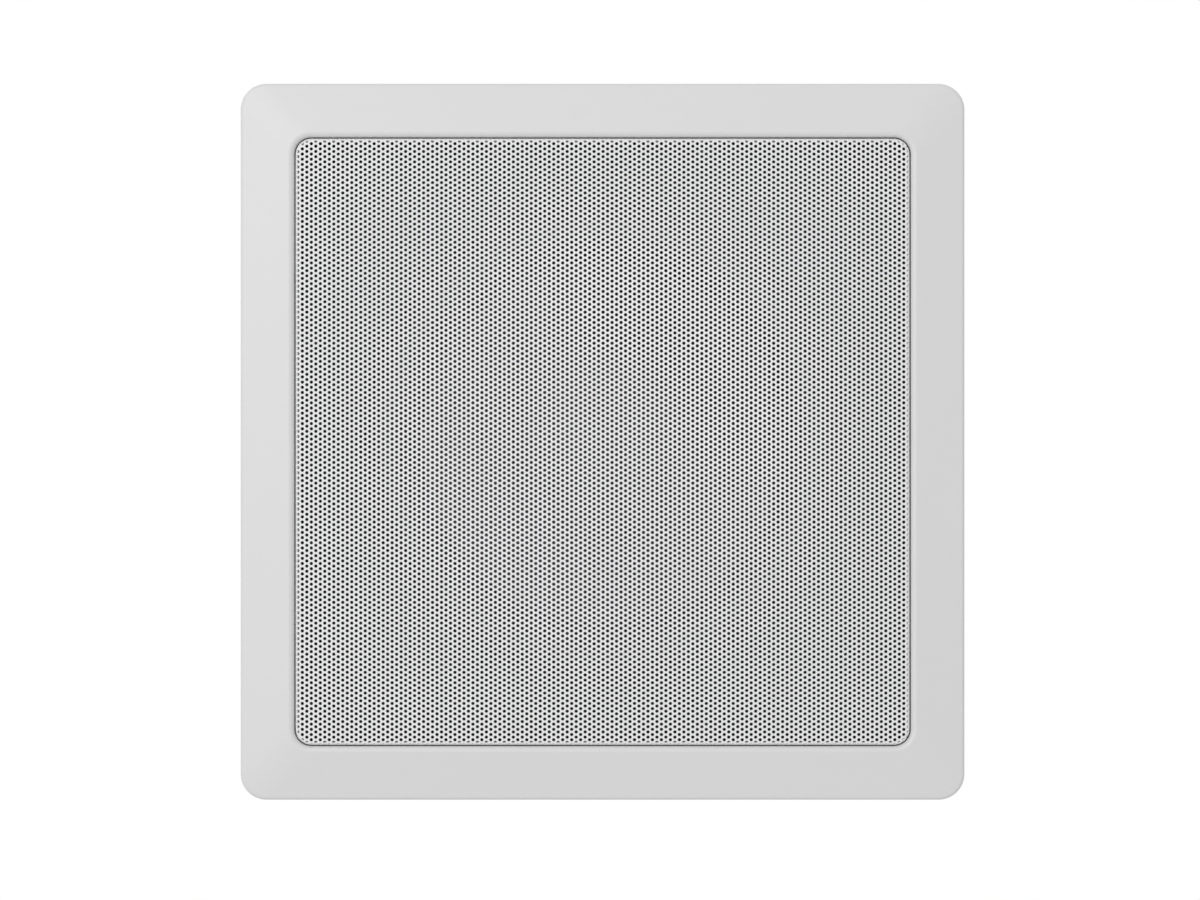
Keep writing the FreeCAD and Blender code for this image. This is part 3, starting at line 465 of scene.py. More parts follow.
@dataclass(frozen=True)
class Pebbled(Finish):
    """Textured board or foam with open cells.

    Attributes:
        cell_share: How much of the detail is rounded grains, and not fine noise.
    """

    cell_share: float = 0.7

    def pattern(self, shader: Shader) -> Signal:
        """Return rounded grains with a finer grain over them."""
        fine = shader.noise(self.grain * 2)
        return shader.cells(self.grain) * self.cell_share + fine * (1 - self.cell_share)


@dataclass(frozen=True)
class Finishes:
    """Every finish on the part."""

    moulding: Finish = SpeckedMoulding(
        "satin_white_moulding", (0.685, 0.685, 0.685), roughness=0.45,
        grain=2600.0, relief=0.000012, mottle=0.012)
    coat: Finish = Finish(
        "white_powder_coat", (0.79, 0.79, 0.79), roughness=0.5, grain=1800.0, relief=0.0, mottle=0.012)
    board: Finish = Pebbled(
        "black_textured_board", (0.012, 0.012, 0.012), roughness=0.75, grain=900.0, relief=0.0001)
    casting: Finish = Pebbled(
        "black_coated_casting", (0.022, 0.022, 0.023), roughness=0.5, grain=700.0, relief=0.00008)
    plated: Finish = TurnedMetal(
        "zinc_plated_plate", (0.46, 0.46, 0.45), roughness=0.34, metallic=1.0,
        grain=900.0, relief=0.00004, mottle=0.35)
    screw: Finish = Finish(
        "zinc_plated_screw", (0.45, 0.45, 0.44), roughness=0.3, metallic=1.0, grain=2200.0, mottle=0.2)
    black_screw: Finish = Finish(
        "black_phosphate", (0.018, 0.018, 0.019), roughness=0.5, grain=2200.0, mottle=0.15)
    foam: Finish = Pebbled("black_foam", (0.02, 0.02, 0.02), roughness=0.9, grain=1600.0, relief=0.0003)
    rubber: Finish = Ringed(
        "black_rubber", (0.014, 0.014, 0.014), roughness=0.45, grain=1200.0, relief=0.00003)
    pulp: Finish = Ringed(
        "treated_paper_pulp", (0.048, 0.048, 0.049), roughness=0.55,
        grain=900.0, relief=0.0002, mottle=0.2)
    cloth: Finish = Woven("treated_cloth", (0.42, 0.24, 0.07), roughness=0.7, relief=0.0002, mottle=0.3)
    foil: Finish = Finish("bare_foil", (0.75, 0.75, 0.76), roughness=0.25, metallic=1.0, grain=600.0)
    copper: Finish = Wound(
        "enamelled_copper", (0.62, 0.24, 0.1), roughness=0.3, metallic=1.0, relief=0.0002, mottle=0.15)
    braid: Finish = Woven(
        "tinsel_braid", (0.6, 0.3, 0.15), roughness=0.4, metallic=1.0,
        relief=0.0001, mottle=0.3, pitch=0.0005)
    ferrite: Finish = Finish(
        "ground_ferrite", (0.045, 0.045, 0.048), roughness=0.55, grain=500.0, relief=0.00006, mottle=0.2)
    fibre: Finish = Finish(
        "fibre_board", (0.16, 0.075, 0.03), roughness=0.7, grain=1200.0, relief=0.00005, mottle=0.25)
    brass: Finish = Finish(
        "tinned_brass", (0.5, 0.38, 0.19), roughness=0.32, metallic=1.0, grain=1500.0, mottle=0.25)
    nylon: Finish = Finish(
        "black_nylon", (0.022, 0.022, 0.022), roughness=0.48, grain=1300.0, relief=0.00005)
    red: Finish = Finish("red_plastic", (0.42, 0.012, 0.012), roughness=0.35, grain=1500.0)
    red_vinyl: Finish = Finish("red_vinyl", (0.4, 0.014, 0.014), roughness=0.45, grain=900.0)
    black_vinyl: Finish = Finish("black_vinyl", (0.016, 0.016, 0.016), roughness=0.45, grain=900.0)


def dress(nodes: Iterable[str], finish: Finish) -> None:
    """Give CAD nodes a finish.

    Args:
        nodes: The nodes' names.
        finish: The finish they share.
    """
    material = finish.build()
    for name in nodes:
        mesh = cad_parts[name].data
        mesh.materials.clear()
        mesh.materials.append(material)
        log.info("%s: %s", name, material.name)


def welded(node: str) -> bmesh.types.BMesh:
    """Return a CAD node's surface with its loose triangles joined.

    Args:
        node: The node's name.

    Returns:
        Its surface in the part's frame.
    """
    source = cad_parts[node]
    mesh = source.data.copy()
    mesh.transform(source.matrix_world)
    made = bmesh.new()
    made.from_mesh(mesh)
    bpy.data.meshes.remove(mesh)
    bmesh.ops.remove_doubles(made, verts=made.verts[:], dist=SAME_POINT)
    return made


def as_mesh(name: str, made: bmesh.types.BMesh) -> bpy.types.Mesh:
    """Turn a surface into a mesh.

    Args:
        name: The mesh's name.
        made: The surface, which is freed.

    Returns:
        The new mesh.
    """
    mesh = bpy.data.meshes.new(name)
    made.to_mesh(mesh)
    made.free()
    return mesh


def join(made: bmesh.types.BMesh, other: bmesh.types.BMesh) -> None:
    """Move all that one surface holds into another.

    Args:
        made: The surface that takes it.
        other: The surface that gives it, which is freed.
    """
    mesh = as_mesh("joined", other)
    made.from_mesh(mesh)
    bpy.data.meshes.remove(mesh)


def only_verts(items: Iterable[object]) -> list[bmesh.types.BMVert]:
    """Return the vertices among what an operator gives back."""
    return [item for item in items if isinstance(item, bmesh.types.BMVert)]


def cut_across(made: bmesh.types.BMesh, place: Place, way: Place, slack: float, clear: bool = True) -> None:
    """Cut a surface along a plane.

    Args:
        made: The surface.
        place: A point on the plane.
        way: The direction square to it.
        slack: Distance within which a point counts as on the plane.
        clear: Whether what lies past it, in that direction, is cleared.
    """
    everything = made.verts[:] + made.edges[:] + made.faces[:]
    bmesh.ops.bisect_plane(
        made, geom=everything, dist=slack, plane_co=place, plane_no=way, clear_outer=clear)


def repeat(made: bmesh.types.BMesh, step: Place, count: int) -> None:
    """Repeat all that a mesh holds along a straight line.

    Args:
        made: The mesh.
        step: The way from one copy to the next.
        count: How many copies are added.
    """
    everything = made.verts[:] + made.edges[:] + made.faces[:]
    bmesh.ops.spin(
        made, geom=everything, cent=(0, 0, 0), axis=(0, 0, 1), dvec=step, angle=0.0, steps=count,
        use_duplicate=True)


def placed(name: str, data: bpy.types.ID) -> bpy.types.Object:
    """Put a mesh, lamp or camera into the scene.

    Args:
        name: The object's name.
        data: What it holds.

    Returns:
        The new object.
    """
    made = bpy.data.objects.new(name, data)
    bpy.context.scene.collection.objects.link(made)
    return made


def finished(
    name: str, made: bmesh.types.BMesh, material: bpy.types.Material, crease: float
) -> bpy.types.Object:
    """Turn a closed surface into a piece.

    Args:
        name: The piece's name.
        made: Its surface, which is freed.
        material: Its finish.
        crease: Angle past which an edge stays sharp, in degrees.

    Returns:
        The new object.
    """
    bmesh.ops.recalc_face_normals(made, faces=made.faces[:])
    mesh = as_mesh(name, made)
    mesh.materials.append(material)
    mesh.shade_smooth()
    mesh.set_sharp_from_angle(angle=math.radians(crease))
    log.info("%s: %d faces, %s", name, len(mesh.polygons), material.name)
    return placed(name, mesh)


@dataclass
class PressedGrille:
    """Perforated steel pan: a sixty degree stagger of small holes, bent over at its edge.

    Attributes:
        pitch: Distance between neighbouring holes.
        hole_radius: Radius of a hole.
        hole_sides: Edges round a hole.
        sheet: Thickness of the steel.
        bend: Outer radius of the bend.
        corner: Outer radius of the pan's corners.
        holes_end: How far past the flat face the holes run.
        field_end: How far past the flat face the hexagon cells run.
        shift: Offset of the pattern from the middle.
        corner_cuts: Cuts that round off a corner of the sheet.
        bend_steps: Steps in the bend along a side.
        rim_reach: How far from a hole's middle its rim is looked for, in radii.
        edge_slack: How far within the cells' end the sheet's outer edge may lie.
        cut_slack: Distance within which a point counts as on a cut.
        column: Distance between neighbouring columns of holes.
        front: Depth of the pan's face in the part's frame.
        middle: The pan's middle, across and up.
        flat: Half the flat face's width and height.
        flat_corner: Radius of the flat face's corners.
        lip_end: How far past the flat face the unfolded lip runs.
    """

    pitch: float = 0.002
    hole_radius: float = 0.00067
    hole_sides: int = 8
    sheet: float = 0.0008
    bend: float = 0.0012
    corner: float = 0.00605
    holes_end: float = 0.0014
    field_end: float = 0.0022
    shift: tuple[float, float] = (0.0002, 0.0)
    corner_cuts: int = 7
    bend_steps: int = 3
    rim_reach: float = 1.02
    edge_slack: float = 0.0003
    cut_slack: float = 1e-7
    column: float = field(init=False)
    front: float = field(init=False)
    middle: np.ndarray = field(init=False)
    flat: np.ndarray = field(init=False)
    flat_corner: float = field(init=False)
    lip_end: float = field(init=False)

    def __post_init__(self) -> None:
        """Work out the column spacing and take the pan's size from its CAD node."""
        self.column = self.pitch * math.sqrt(3) / 2
        low, high = (np.array(corner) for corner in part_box("grille"))
        self.front = low[1]
        self.middle = (low + high)[[0, 2]] / 2
        self.flat = (high - low)[[0, 2]] / 2 - self.bend
        self.flat_corner = self.corner - self.bend
        self.lip_end = self.bend * math.pi / 2 + (high[1] - low[1]) - self.bend

    def outside(self, points: np.ndarray) -> tuple[np.ndarray, np.ndarray, np.ndarray]:
        """Measure points of the unfolded sheet against the flat face's outline.

        Args:
            points: Points on the sheet, across and up from the middle.

        Returns:
            The distance past the outline, the outline's nearest point and its outward direction.
        """
        core = self.flat - self.flat_corner
        nearest = np.clip(points, -core, core)
        away = points - nearest
        length = np.maximum(np.linalg.norm(away, axis=1), NEARLY_NOUGHT)
        way = away / length[:, None]
        return length - self.flat_corner, nearest + way * self.flat_corner, way

    def fold(self, points: np.ndarray) -> np.ndarray:
        """Bend the unfolded sheet's points round the pan's edge.

        Args:
            points: Points on the sheet, across and up from the middle.

        Returns:
            Their places on the pan's outer face.
        """
        past, edge, way = self.outside(points)
        angle = np.clip(past / self.bend, 0.0, math.pi / 2)
        straight = np.maximum(past - self.bend * math.pi / 2, 0.0)
        bent = edge + way * (self.bend * np.sin(angle))[:, None]
        flat = np.where((past > 0)[:, None], bent, points) + self.middle
        depth = self.bend * (1 - np.cos(angle)) + straight + self.front
        return np.column_stack((flat[:, 0], depth, flat[:, 1]))

    def lay_cells(self, sheet: bmesh.types.BMesh, low: np.ndarray, high: np.ndarray) -> None:
        """Cover a rectangle of the sheet with hexagon cells, each with its hole.

        Args:
            sheet: The mesh to fill, flat.
            low: The rectangle's lowest corner.
            high: Its highest corner.
        """
        turned = Matrix.Rotation(math.radians(30), 4, "Z")
        bmesh.ops.create_circle(sheet, segments=6, radius=self.pitch / math.sqrt(3), matrix=turned)
        half_step = Matrix.Rotation(math.pi / self.hole_sides, 4, "Z")
        bmesh.ops.create_circle(sheet, segments=self.hole_sides, radius=self.hole_radius, matrix=half_step)
        bmesh.ops.bridge_loops(sheet, edges=sheet.edges[:])
        block = (2 * self.column, self.pitch)
        first = np.floor((low - self.shift) / block) - 1
        last = np.ceil((high - self.shift) / block) + 1
        start = first * block + self.shift
        bmesh.ops.translate(sheet, verts=sheet.verts[:], vec=(start[0], start[1], 0.0))
        steps = (last - first).astype(int)
        repeat(sheet, (self.column, self.pitch / 2, 0.0), 1)
        repeat(sheet, (0.0, block[1], 0.0), int(steps[1]))
        repeat(sheet, (block[0], 0.0, 0.0), int(steps[0]))
        bmesh.ops.remove_doubles(sheet, verts=sheet.verts[:], dist=self.pitch / 100)

    def close_holes(self, sheet: bmesh.types.BMesh) -> None:
        """Fill the holes that would lie on the bend's far side or the lip.

        Args:
            sheet: The flat sheet of cells.
        """
        rims = [edge for edge in sheet.edges if edge.is_boundary]
        points = np.array([((e.verts[0].co + e.verts[1].co) / 2).xy for e in rims])
        columns = np.round((points[:, 0] - self.shift[0]) / self.column)
        lift = np.where(columns % 2 == 1, self.pitch / 2, 0.0) + self.shift[1]
        rows = np.round((points[:, 1] - lift) / self.pitch)
        centres = np.column_stack((columns * self.column + self.shift[0], rows * self.pitch + lift))
        at_hole = np.linalg.norm(points - centres, axis=1) < self.hole_radius * self.rim_reach
        past, _, _ = self.outside(centres)
        chosen = [rims[i] for i in np.flatnonzero(at_hole & (past > self.holes_end))]
        corners = {vert for edge in chosen for vert in edge.verts}
        bmesh.ops.holes_fill(sheet, edges=chosen, sides=self.hole_sides)
        bmesh.ops.dissolve_verts(sheet, verts=list(corners))

    def cut(self, sheet: bmesh.types.BMesh, place: np.ndarray, way: np.ndarray, clear: bool) -> None:
        """Cut the flat sheet along a line, and clear what lies past it if asked."""
        cut_across(sheet, (*place, 0.0), (*way, 0.0), self.cut_slack, clear)

    def trim(self, sheet: bmesh.types.BMesh, side: np.ndarray) -> None:
        """Cut one quarter of the sheet to its outline, with lines where it bends.

        Args:
            sheet: The flat quarter.
            side: The quarter's side across and up, each one or minus one.
        """
        for axis in (0, 1):
            way = np.eye(2)[axis] * side[axis]
            self.cut(sheet, np.zeros(2), -way, True)
            self.cut(sheet, way * (self.flat[axis] + self.field_end), way, True)
            for step in range(self.bend_steps + 1):
                past = self.bend * math.pi / (2 * self.bend_steps) * step
                self.cut(sheet, way * (self.flat[axis] + past), way, False)
        core = (self.flat - self.flat_corner) * side
        for number in range(1, self.corner_cuts + 1):
            angle = math.pi / 2 * number / (self.corner_cuts + 1)
            way = np.array((math.cos(angle), math.sin(angle))) * side
            self.cut(sheet, core + way * (self.flat_corner + self.field_end), way, True)

    def draw_lip(self, sheet: bmesh.types.BMesh) -> None:
        """Extend the sheet's outer edge to the end of the lip.

        Args:
            sheet: The flat quarter.
        """
        edges = [edge for edge in sheet.edges if edge.is_boundary]
        ends = np.array([[v.co.xy for v in edge.verts] for edge in edges])
        limit = self.field_end - self.edge_slack
        outer = np.all([self.outside(ends[:, i])[0] > limit for i in (0, 1)], axis=0)
        made = bmesh.ops.extrude_edge_only(sheet, edges=[edges[i] for i in np.flatnonzero(outer)])
        fresh = only_verts(made["geom"])
        _, edge, way = self.outside(np.array([v.co.xy for v in fresh]))
        for vert, place in zip(fresh, edge + way * self.lip_end, strict=True):
            vert.co.xy = place

    def bend_over(self, mesh: bpy.types.Mesh) -> None:
        """Fold a flat quarter into its place, with its face outwards.

        Args:
            mesh: The quarter.
        """
        places = np.empty(len(mesh.vertices) * 3, np.float32)
        mesh.vertices.foreach_get("co", places)
        folded = self.fold(places.reshape(-1, 3)[:, :2].astype(float))
        mesh.vertices.foreach_set("co", folded.astype(np.float32).ravel())
        mesh.update()
        facing = np.empty(len(mesh.polygons) * 3, np.float32)
        mesh.polygons.foreach_get("normal", facing)
        if facing.reshape(-1, 3)[:, 1].mean() > 0:
            mesh.flip_normals()

    def quarter(self, name: str, side: np.ndarray, material: bpy.types.Material) -> bpy.types.Object:
        """Make one quarter of the pan.

        Args:
            name: The piece's name.
            side: The quarter's side across and up, each one or minus one.
            material: Its finish.

        Returns:
            The finished piece.
        """
        sheet = bmesh.new()
        reach = (self.flat + self.field_end) * side
        self.lay_cells(sheet, np.minimum(reach, 0), np.maximum(reach, 0))
        self.close_holes(sheet)
        self.trim(sheet, side)
        self.draw_lip(sheet)
        bmesh.ops.recalc_face_normals(sheet, faces=sheet.faces[:])
        mesh = as_mesh(name, sheet)
        self.bend_over(mesh)
        mesh.materials.append(material)
        piece = placed(name, mesh)
        wall = piece.modifiers.new("sheet", "SOLIDIFY")
        wall.thickness = self.sheet
        wall.offset = -1.0
        return piece

    def build(self, material: bpy.types.Material) -> None:
        """Make the four quarters that stand for the CAD pan.

        Args:
            material: Their finish.
        """
        for corner, side in CORNERS.items():
            piece = self.quarter(f"grille_{corner}", np.array(side, float), material)
            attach(piece, "housing")
            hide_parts("grille")
            log.info("%s: %d faces", piece.name, len(piece.data.polygons))


@dataclass
class Flexure:
    """A ring or lead that joins the housing to the moving cone, remade from its CAD shape.

    Attributes:
        node: The CAD node that it stands for.
        still: Not used.
        moving: Not used.
    """

    node: str
    still: float
    moving: float

    def build(self, finish: Finish, slot: str) -> None:
        """Make the piece from its CAD shape, and hide the CAD node.

        Args:
            finish: Its finish.
            slot: Not used.
        """
        piece = finished(f"{self.node}_flexing", welded(self.node), finish.build(), crease=40.0)
        self.share_motion(piece)
        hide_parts(self.node)

    def share_motion(self, piece: bpy.types.Object) -> None:
        """Lay the shape out along a line by radius, apply the object's transform, then put the shape back.

        Args:
            piece: The piece made from the CAD node.
        """
        places = np.empty(len(piece.data.vertices) * 3, np.float32)
        piece.data.vertices.foreach_get("co", places)
        laid_out = np.zeros((len(piece.data.vertices), 3), np.float32)
        laid_out[:, 0] = np.linalg.norm(places.reshape(-1, 3)[:, [0, 2]], axis=1)
        piece.data.vertices.foreach_set("co", laid_out.ravel())
        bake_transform(piece)
        piece.data.vertices.foreach_set("co", places)
        piece.data.update()


@dataclass
class Housing:
    """Trim frame, baffle and their screws.

    Attributes:
        finishes: The part's finishes.
    """

    finishes: Finishes

    def dress(self) -> None:
        """Give each node its finish."""
        dress(["trim_frame"], self.finishes.moulding)
        dress(["baffle"], self.finishes.board)
        dress(["baffle_screws", "driver_screws"], self.finishes.black_screw)


@dataclass
class Driver:
    """Basket, cone, suspension and motor.

    Attributes:
        finishes: The part's finishes.
        surround: The cone's outer roll.
        spider: The cloth that centres the coil.
        leads: The tinsel leads from the tags to the cone.
    """

    finishes: Finishes
    surround: Flexure = field(default_factory=lambda: Flexure("surround", still=0.0912, moving=0.0758))
    spider: Flexure = field(default_factory=lambda: Flexure("spider", still=0.0560, moving=0.0290))
    leads: Flexure = field(default_factory=lambda: Flexure("tinsel_leads", still=0.0700, moving=0.0500))

    def dress(self) -> None:
        """Make the surround, spider and lead pieces and give each node its finish."""
        dress(["front_gasket"], self.finishes.foam)
        dress(["basket"], self.finishes.casting)
        self.surround.build(self.finishes.rubber, "black_rubber")
        self.spider.build(self.finishes.cloth, "cloth")
        self.leads.build(self.finishes.braid, "copper")
        dress(["cone", "dust_cap"], self.finishes.pulp)
        dress(["coil_former"], self.finishes.foil)
        dress(["coil_winding"], self.finishes.copper)
        dress(["top_plate", "yoke"], self.finishes.plated)
        dress(["magnet"], self.finishes.ferrite)
        dress(["tag_strip"], self.finishes.fibre)
        dress(["solder_tags"], self.finishes.brass)


@dataclass
class Lead:
    """A limp insulated lead from a tag to the push terminal.

    Attributes:
        node: The CAD node that it stands for.
        route: Its control points, in metres.
        radius: Its outer radius.
        order: Order of the curve through the control points.
        steps: Steps from one control point to the next.
        roundness: Steps round a quarter of its section.
    """

    node: str
    route: tuple[Place, ...]
    radius: float = 0.0011
    order: int = 3
    steps: int = 16
    roundness: int = 4

    def build(self, material: bpy.types.Material, slot: str) -> None:
        """Draw the lead as one smooth tube.

        Args:
            material: Its finish.
            slot: Not used.
        """
        curve = bpy.data.curves.new(self.node, "CURVE")
        curve.dimensions = "3D"
        curve.bevel_depth = self.radius
        curve.bevel_resolution = self.roundness
        curve.use_fill_caps = True
        line = curve.splines.new("NURBS")
        line.points.add(len(self.route) - 1)
        for point, place in zip(line.points, self.route, strict=True):
            point.co = (*place, 1.0)
        line.order_u = self.order
        line.use_endpoint_u = True
        line.resolution_u = self.steps
        drawn = bpy.data.objects.new(self.node, curve)
        mesh = bpy.data.meshes.new_from_object(drawn)
        made = bmesh.new()
        made.from_mesh(mesh)
        bmesh.ops.remove_doubles(made, verts=made.verts[:], dist=self.radius / 1000)
        bpy.data.objects.remove(drawn)
        bpy.data.curves.remove(curve)
        bpy.data.meshes.remove(mesh)
        piece = finished(f"{self.node}_smooth", made, material, crease=50.0)
        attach(piece, "housing")
        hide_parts(self.node)


@dataclass
class Receptacles:
    """Push-on receptacles with rolled sides and a crimp barrel, one on each tag.

    Attributes:
        near: Distance from the driver's axis at which they start.
        length: Their whole length.
        spacing: Distance between the two.
        blade: Depth of the tag's middle in the part's frame.
        width: Width over the rolled sides.
        height: Height over the rolled sides.
        strip: Thickness of the brass.
        curl: Radius of the inward curl.
        body_length: Length of the rolled sides.
        barrel_radius: Outer radius of the crimp barrel.
        barrel_length: Length of the crimp barrel.
        tongue_half: Half the width of the tongue between the two.
        side_steps: Steps in a rolled side.
        curl_angle: How far the strip's edge curls in, in degrees.
        curl_steps: Steps in that curl.
        barrel_sides: Sides of the crimp barrel.
    """

    near: float = 0.0843
    length: float = 0.009
    spacing: float = 0.013
    blade: float = 0.049
    width: float = 0.0064
    height: float = 0.0034
    strip: float = 0.0004
    curl: float = 0.00055
    body_length: float = 0.0054
    barrel_radius: float = 0.0015
    barrel_length: float = 0.0028
    tongue_half: float = 0.001
    side_steps: int = 8
    curl_angle: float = 150.0
    curl_steps: int = 6
    barrel_sides: int = 20

    def rolled_body(self) -> bmesh.types.BMesh:
        """Roll the sides of a strip inwards and add its tongue and barrel, along the x axis.

        Returns:
            One receptacle as a thin sheet, with its tag's middle at nought.
        """
        made = bmesh.new()
        side = (self.height - self.strip) / 2
        turn = self.width / 2 - self.strip / 2 - side
        flat = [made.verts.new((0.0, across, -side)) for across in (0.0, self.tongue_half, turn)]
        for pair in zip(flat, flat[1:]):
            made.edges.new(pair)
        rolls = (
            (0.0, math.pi, self.side_steps),
            (side - self.curl, math.radians(self.curl_angle), self.curl_steps),
        )
        last = [flat[-1]]
        for height, angle, steps in rolls:
            bent = bmesh.ops.spin(
                made, geom=last, cent=(0.0, turn, height), axis=(1, 0, 0), angle=angle, steps=steps)
            last = only_verts(bent["geom_last"])
        bmesh.ops.mirror(made, geom=made.verts[:] + made.edges[:], axis="Y", merge_dist=SAME_POINT)
        self.draw_out(made, made.edges[:], self.body_length)
        tongue = [edge for edge in made.edges if all(self.at_tongue(vert.co) for vert in edge.verts)]
        self.draw_out(made, tongue, self.length - self.body_length - self.barrel_length / 2)
        radius = self.barrel_radius - self.strip / 2
        middle = Matrix.Translation((self.length - self.barrel_length / 2, 0, 0))
        bmesh.ops.create_cone(
            made, cap_ends=False, segments=self.barrel_sides, radius1=radius, radius2=radius,
            depth=self.barrel_length, matrix=middle @ Matrix.Rotation(math.pi / 2, 4, "Y"))
        return made

    def at_tongue(self, place: Vector) -> bool:
        """Tell whether a point of the rolled sides lies where the tongue starts."""
        within = abs(place.y) < self.tongue_half + SAME_POINT and place.z < 0
        return within and place.x > self.body_length / 2

    @staticmethod
    def draw_out(made: bmesh.types.BMesh, edges: list[bmesh.types.BMEdge], length: float) -> None:
        """Extrude edges along the x axis."""
        drawn = bmesh.ops.extrude_edge_only(made, edges=edges)
        bmesh.ops.translate(made, verts=only_verts(drawn["geom"]), vec=(length, 0, 0))

    def build(self, material: bpy.types.Material) -> None:
        """Set a receptacle on each tag.

        Args:
            material: Their finish.
        """
        both = bmesh.new()
        outward = Vector((1, 0, -1)).normalized()
        beside = Vector((1, 0, 1)).normalized()
        depth = Vector((0, 1, 0))
        for side in (-1, 1):
            start = outward * self.near + beside * (side * self.spacing / 2) + depth * self.blade
            place = Matrix((outward, beside, depth)).transposed().to_4x4()
            place.translation = start
            one = self.rolled_body()
            bmesh.ops.recalc_face_normals(one, faces=one.faces[:])
            bmesh.ops.transform(one, matrix=place, verts=one.verts[:])
            join(both, one)
        piece = finished("lead_receptacles_rolled", both, material, crease=40.0)
        wall = piece.modifiers.new("strip", "SOLIDIFY")
        wall.thickness = self.strip
        wall.offset = 0.0
        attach(piece, "housing")
        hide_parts("lead_receptacles")


@dataclass
class Terminals:
    """Push terminal, its screws, its leads and their receptacles.

    Attributes:
        finishes: The part's finishes.
        red_lead: The lead to the red tab.
        black_lead: The lead to the black tab.
        receptacles: What joins both leads to the driver's tags.
    """

    finishes: Finishes
    red_lead: Lead = field(default_factory=lambda: Lead("lead_red", (
        (0.0611, 0.0490, -0.0703), (0.0656, 0.0490, -0.0748), (0.0682, 0.0425, -0.0790),
        (0.0660, 0.0280, -0.0845), (0.0630, 0.0165, -0.0870), (0.0630, 0.0165, -0.0979))))
    black_lead: Lead = field(default_factory=lambda: Lead("lead_black", (
        (0.0703, 0.0490, -0.0611), (0.0748, 0.0490, -0.0656), (0.0776, 0.0430, -0.0695),
        (0.0762, 0.0290, -0.0790), (0.0730, 0.0165, -0.0865), (0.0730, 0.0165, -0.0979))))
    receptacles: Receptacles = field(default_factory=Receptacles)

    def dress(self) -> None:
        """Make the leads and receptacles and give each node its finish."""
        dress(["terminal_screws"], self.finishes.screw)
        dress(["terminal_block", "push_tab_black"], self.finishes.nylon)
        dress(["push_tab_red"], self.finishes.red)
        self.red_lead.build(self.finishes.red_vinyl.build(), "red_vinyl")
        self.black_lead.build(self.finishes.black_vinyl.build(), "black_vinyl")
        self.receptacles.build(self.finishes.brass.build())


@dataclass
class Clamps:
    """Screw, retainer and dog at each corner.

    Attributes:
        finishes: The part's finishes.
        radius: Outer radius of the screws' thread.
        pitch: Advance of the thread in one turn.
        ridge: Height of the thread.
        sides: Steps in one turn.
        thread_start: Where the thread starts along the part's depth.
        run_in: Length over which the plain shank runs into the thread.
        flank_start: Where a ridge's flank starts, as a share of the pitch.
        flank_end: Where that flank meets the crest.
        tip_share: The tip's radius, as a share of the thread's.
        cut_slack: Distance within which a point counts as on a cut.
    """

    finishes: Finishes
    radius: float = 0.0023
    pitch: float = 0.00106
    ridge: float = 0.00045
    sides: int = 18
    thread_start: float = 0.014
    run_in: float = 0.0004
    flank_start: float = 0.16
    flank_end: float = 0.41
    tip_share: float = 0.5
    cut_slack: float = 1e-8

    def thread(self, centre: Vector, start: float, end: float) -> bmesh.types.BMesh:
        """Wind a thread of V ridges with flat crests, open at both ends.

        Args:
            centre: A point on the screw's axis.
            start: Where it starts along the part's depth.
            end: Where it ends.

        Returns:
            The thread's surface.
        """
        root = self.radius - self.ridge
        section = (
            (root, 0.0),
            (root, self.flank_start),
            (self.radius, self.flank_end),
            (self.radius, 1 - self.flank_end),
            (root, 1 - self.flank_start),
            (root, 1.0),
        )
        made = bmesh.new()
        verts = [
            made.verts.new((centre.x + radius, start - self.pitch * (1 - share), centre.z))
            for radius, share in section
        ]
        edges = [made.edges.new(pair) for pair in zip(verts, verts[1:])]
        bmesh.ops.spin(
            made, geom=verts + edges, cent=centre, axis=(0, 1, 0), dvec=(0, self.pitch / self.sides, 0),
            angle=2 * math.pi, steps=self.sides)
        repeat(made, (0.0, self.pitch, 0.0), math.ceil((end - start) / self.pitch) + 1)
        bmesh.ops.remove_doubles(made, verts=made.verts[:], dist=self.pitch / 1000)
        self.crop(made, start, -1)
        self.crop(made, end, 1)
        return made

    def crop(self, made: bmesh.types.BMesh, depth: float, way: int) -> None:
        """Cut a surface square to the part's depth, and clear it behind the cut, or before it for -1."""
        cut_across(made, (0, depth, 0), (0, way, 0), self.cut_slack)

    def narrow_tip(self, made: bmesh.types.BMesh, centre: Vector, end: float) -> None:
        """Turn the thread down towards the screw's tip.

        Args:
            made: The thread.
            centre: A point on the screw's axis.
            end: Where the tip ends along the part's depth.
        """
        for vert in made.verts:
            away = Vector((vert.co.x - centre.x, 0.0, vert.co.z - centre.z))
            limit = self.radius * self.tip_share + end - vert.co.y
            if away.length > limit:
                away.length = limit
                vert.co.x, vert.co.z = centre.x + away.x, centre.z + away.z

    def threaded_screw(self, corner: str, material: bpy.types.Material) -> None:
        """Replace a clamp screw by one with its thread.

        Args:
            corner: The screw's corner.
            material: Its finish.
        """
        node = f"clamp_screw_{corner}"
        low, high = (Vector(point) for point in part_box(node))
        centre = (low + high) / 2
        screw = welded(node)
        self.crop(screw, self.thread_start, 1)
        thread = self.thread(centre, self.thread_start + self.run_in, high.y)
        self.narrow_tip(thread, centre, high.y)
        join(screw, thread)
        rims = [edge for edge in screw.edges if edge.is_boundary]
        tip = [edge for edge in rims if edge.verts[0].co.y > self.thread_start + 2 * self.run_in]
        bmesh.ops.bridge_loops(screw, edges=[edge for edge in rims if edge not in tip])
        bmesh.ops.edgeloop_fill(screw, edges=tip)
        piece = finished(f"{node}_threaded", screw, material, crease=30.0)
        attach(piece, f"screw_{corner}")
        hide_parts(node)

    def dress(self) -> None:
        """Make the threaded screws and give each node its finish."""
        black = self.finishes.black_screw.build()
        for corner in CORNERS:
            self.threaded_screw(corner, black)
        dress([f"clamp_retainer_{corner}" for corner in CORNERS], self.finishes.screw)
        dress([f"clamp_dog_{corner}" for corner in CORNERS], self.finishes.nylon)


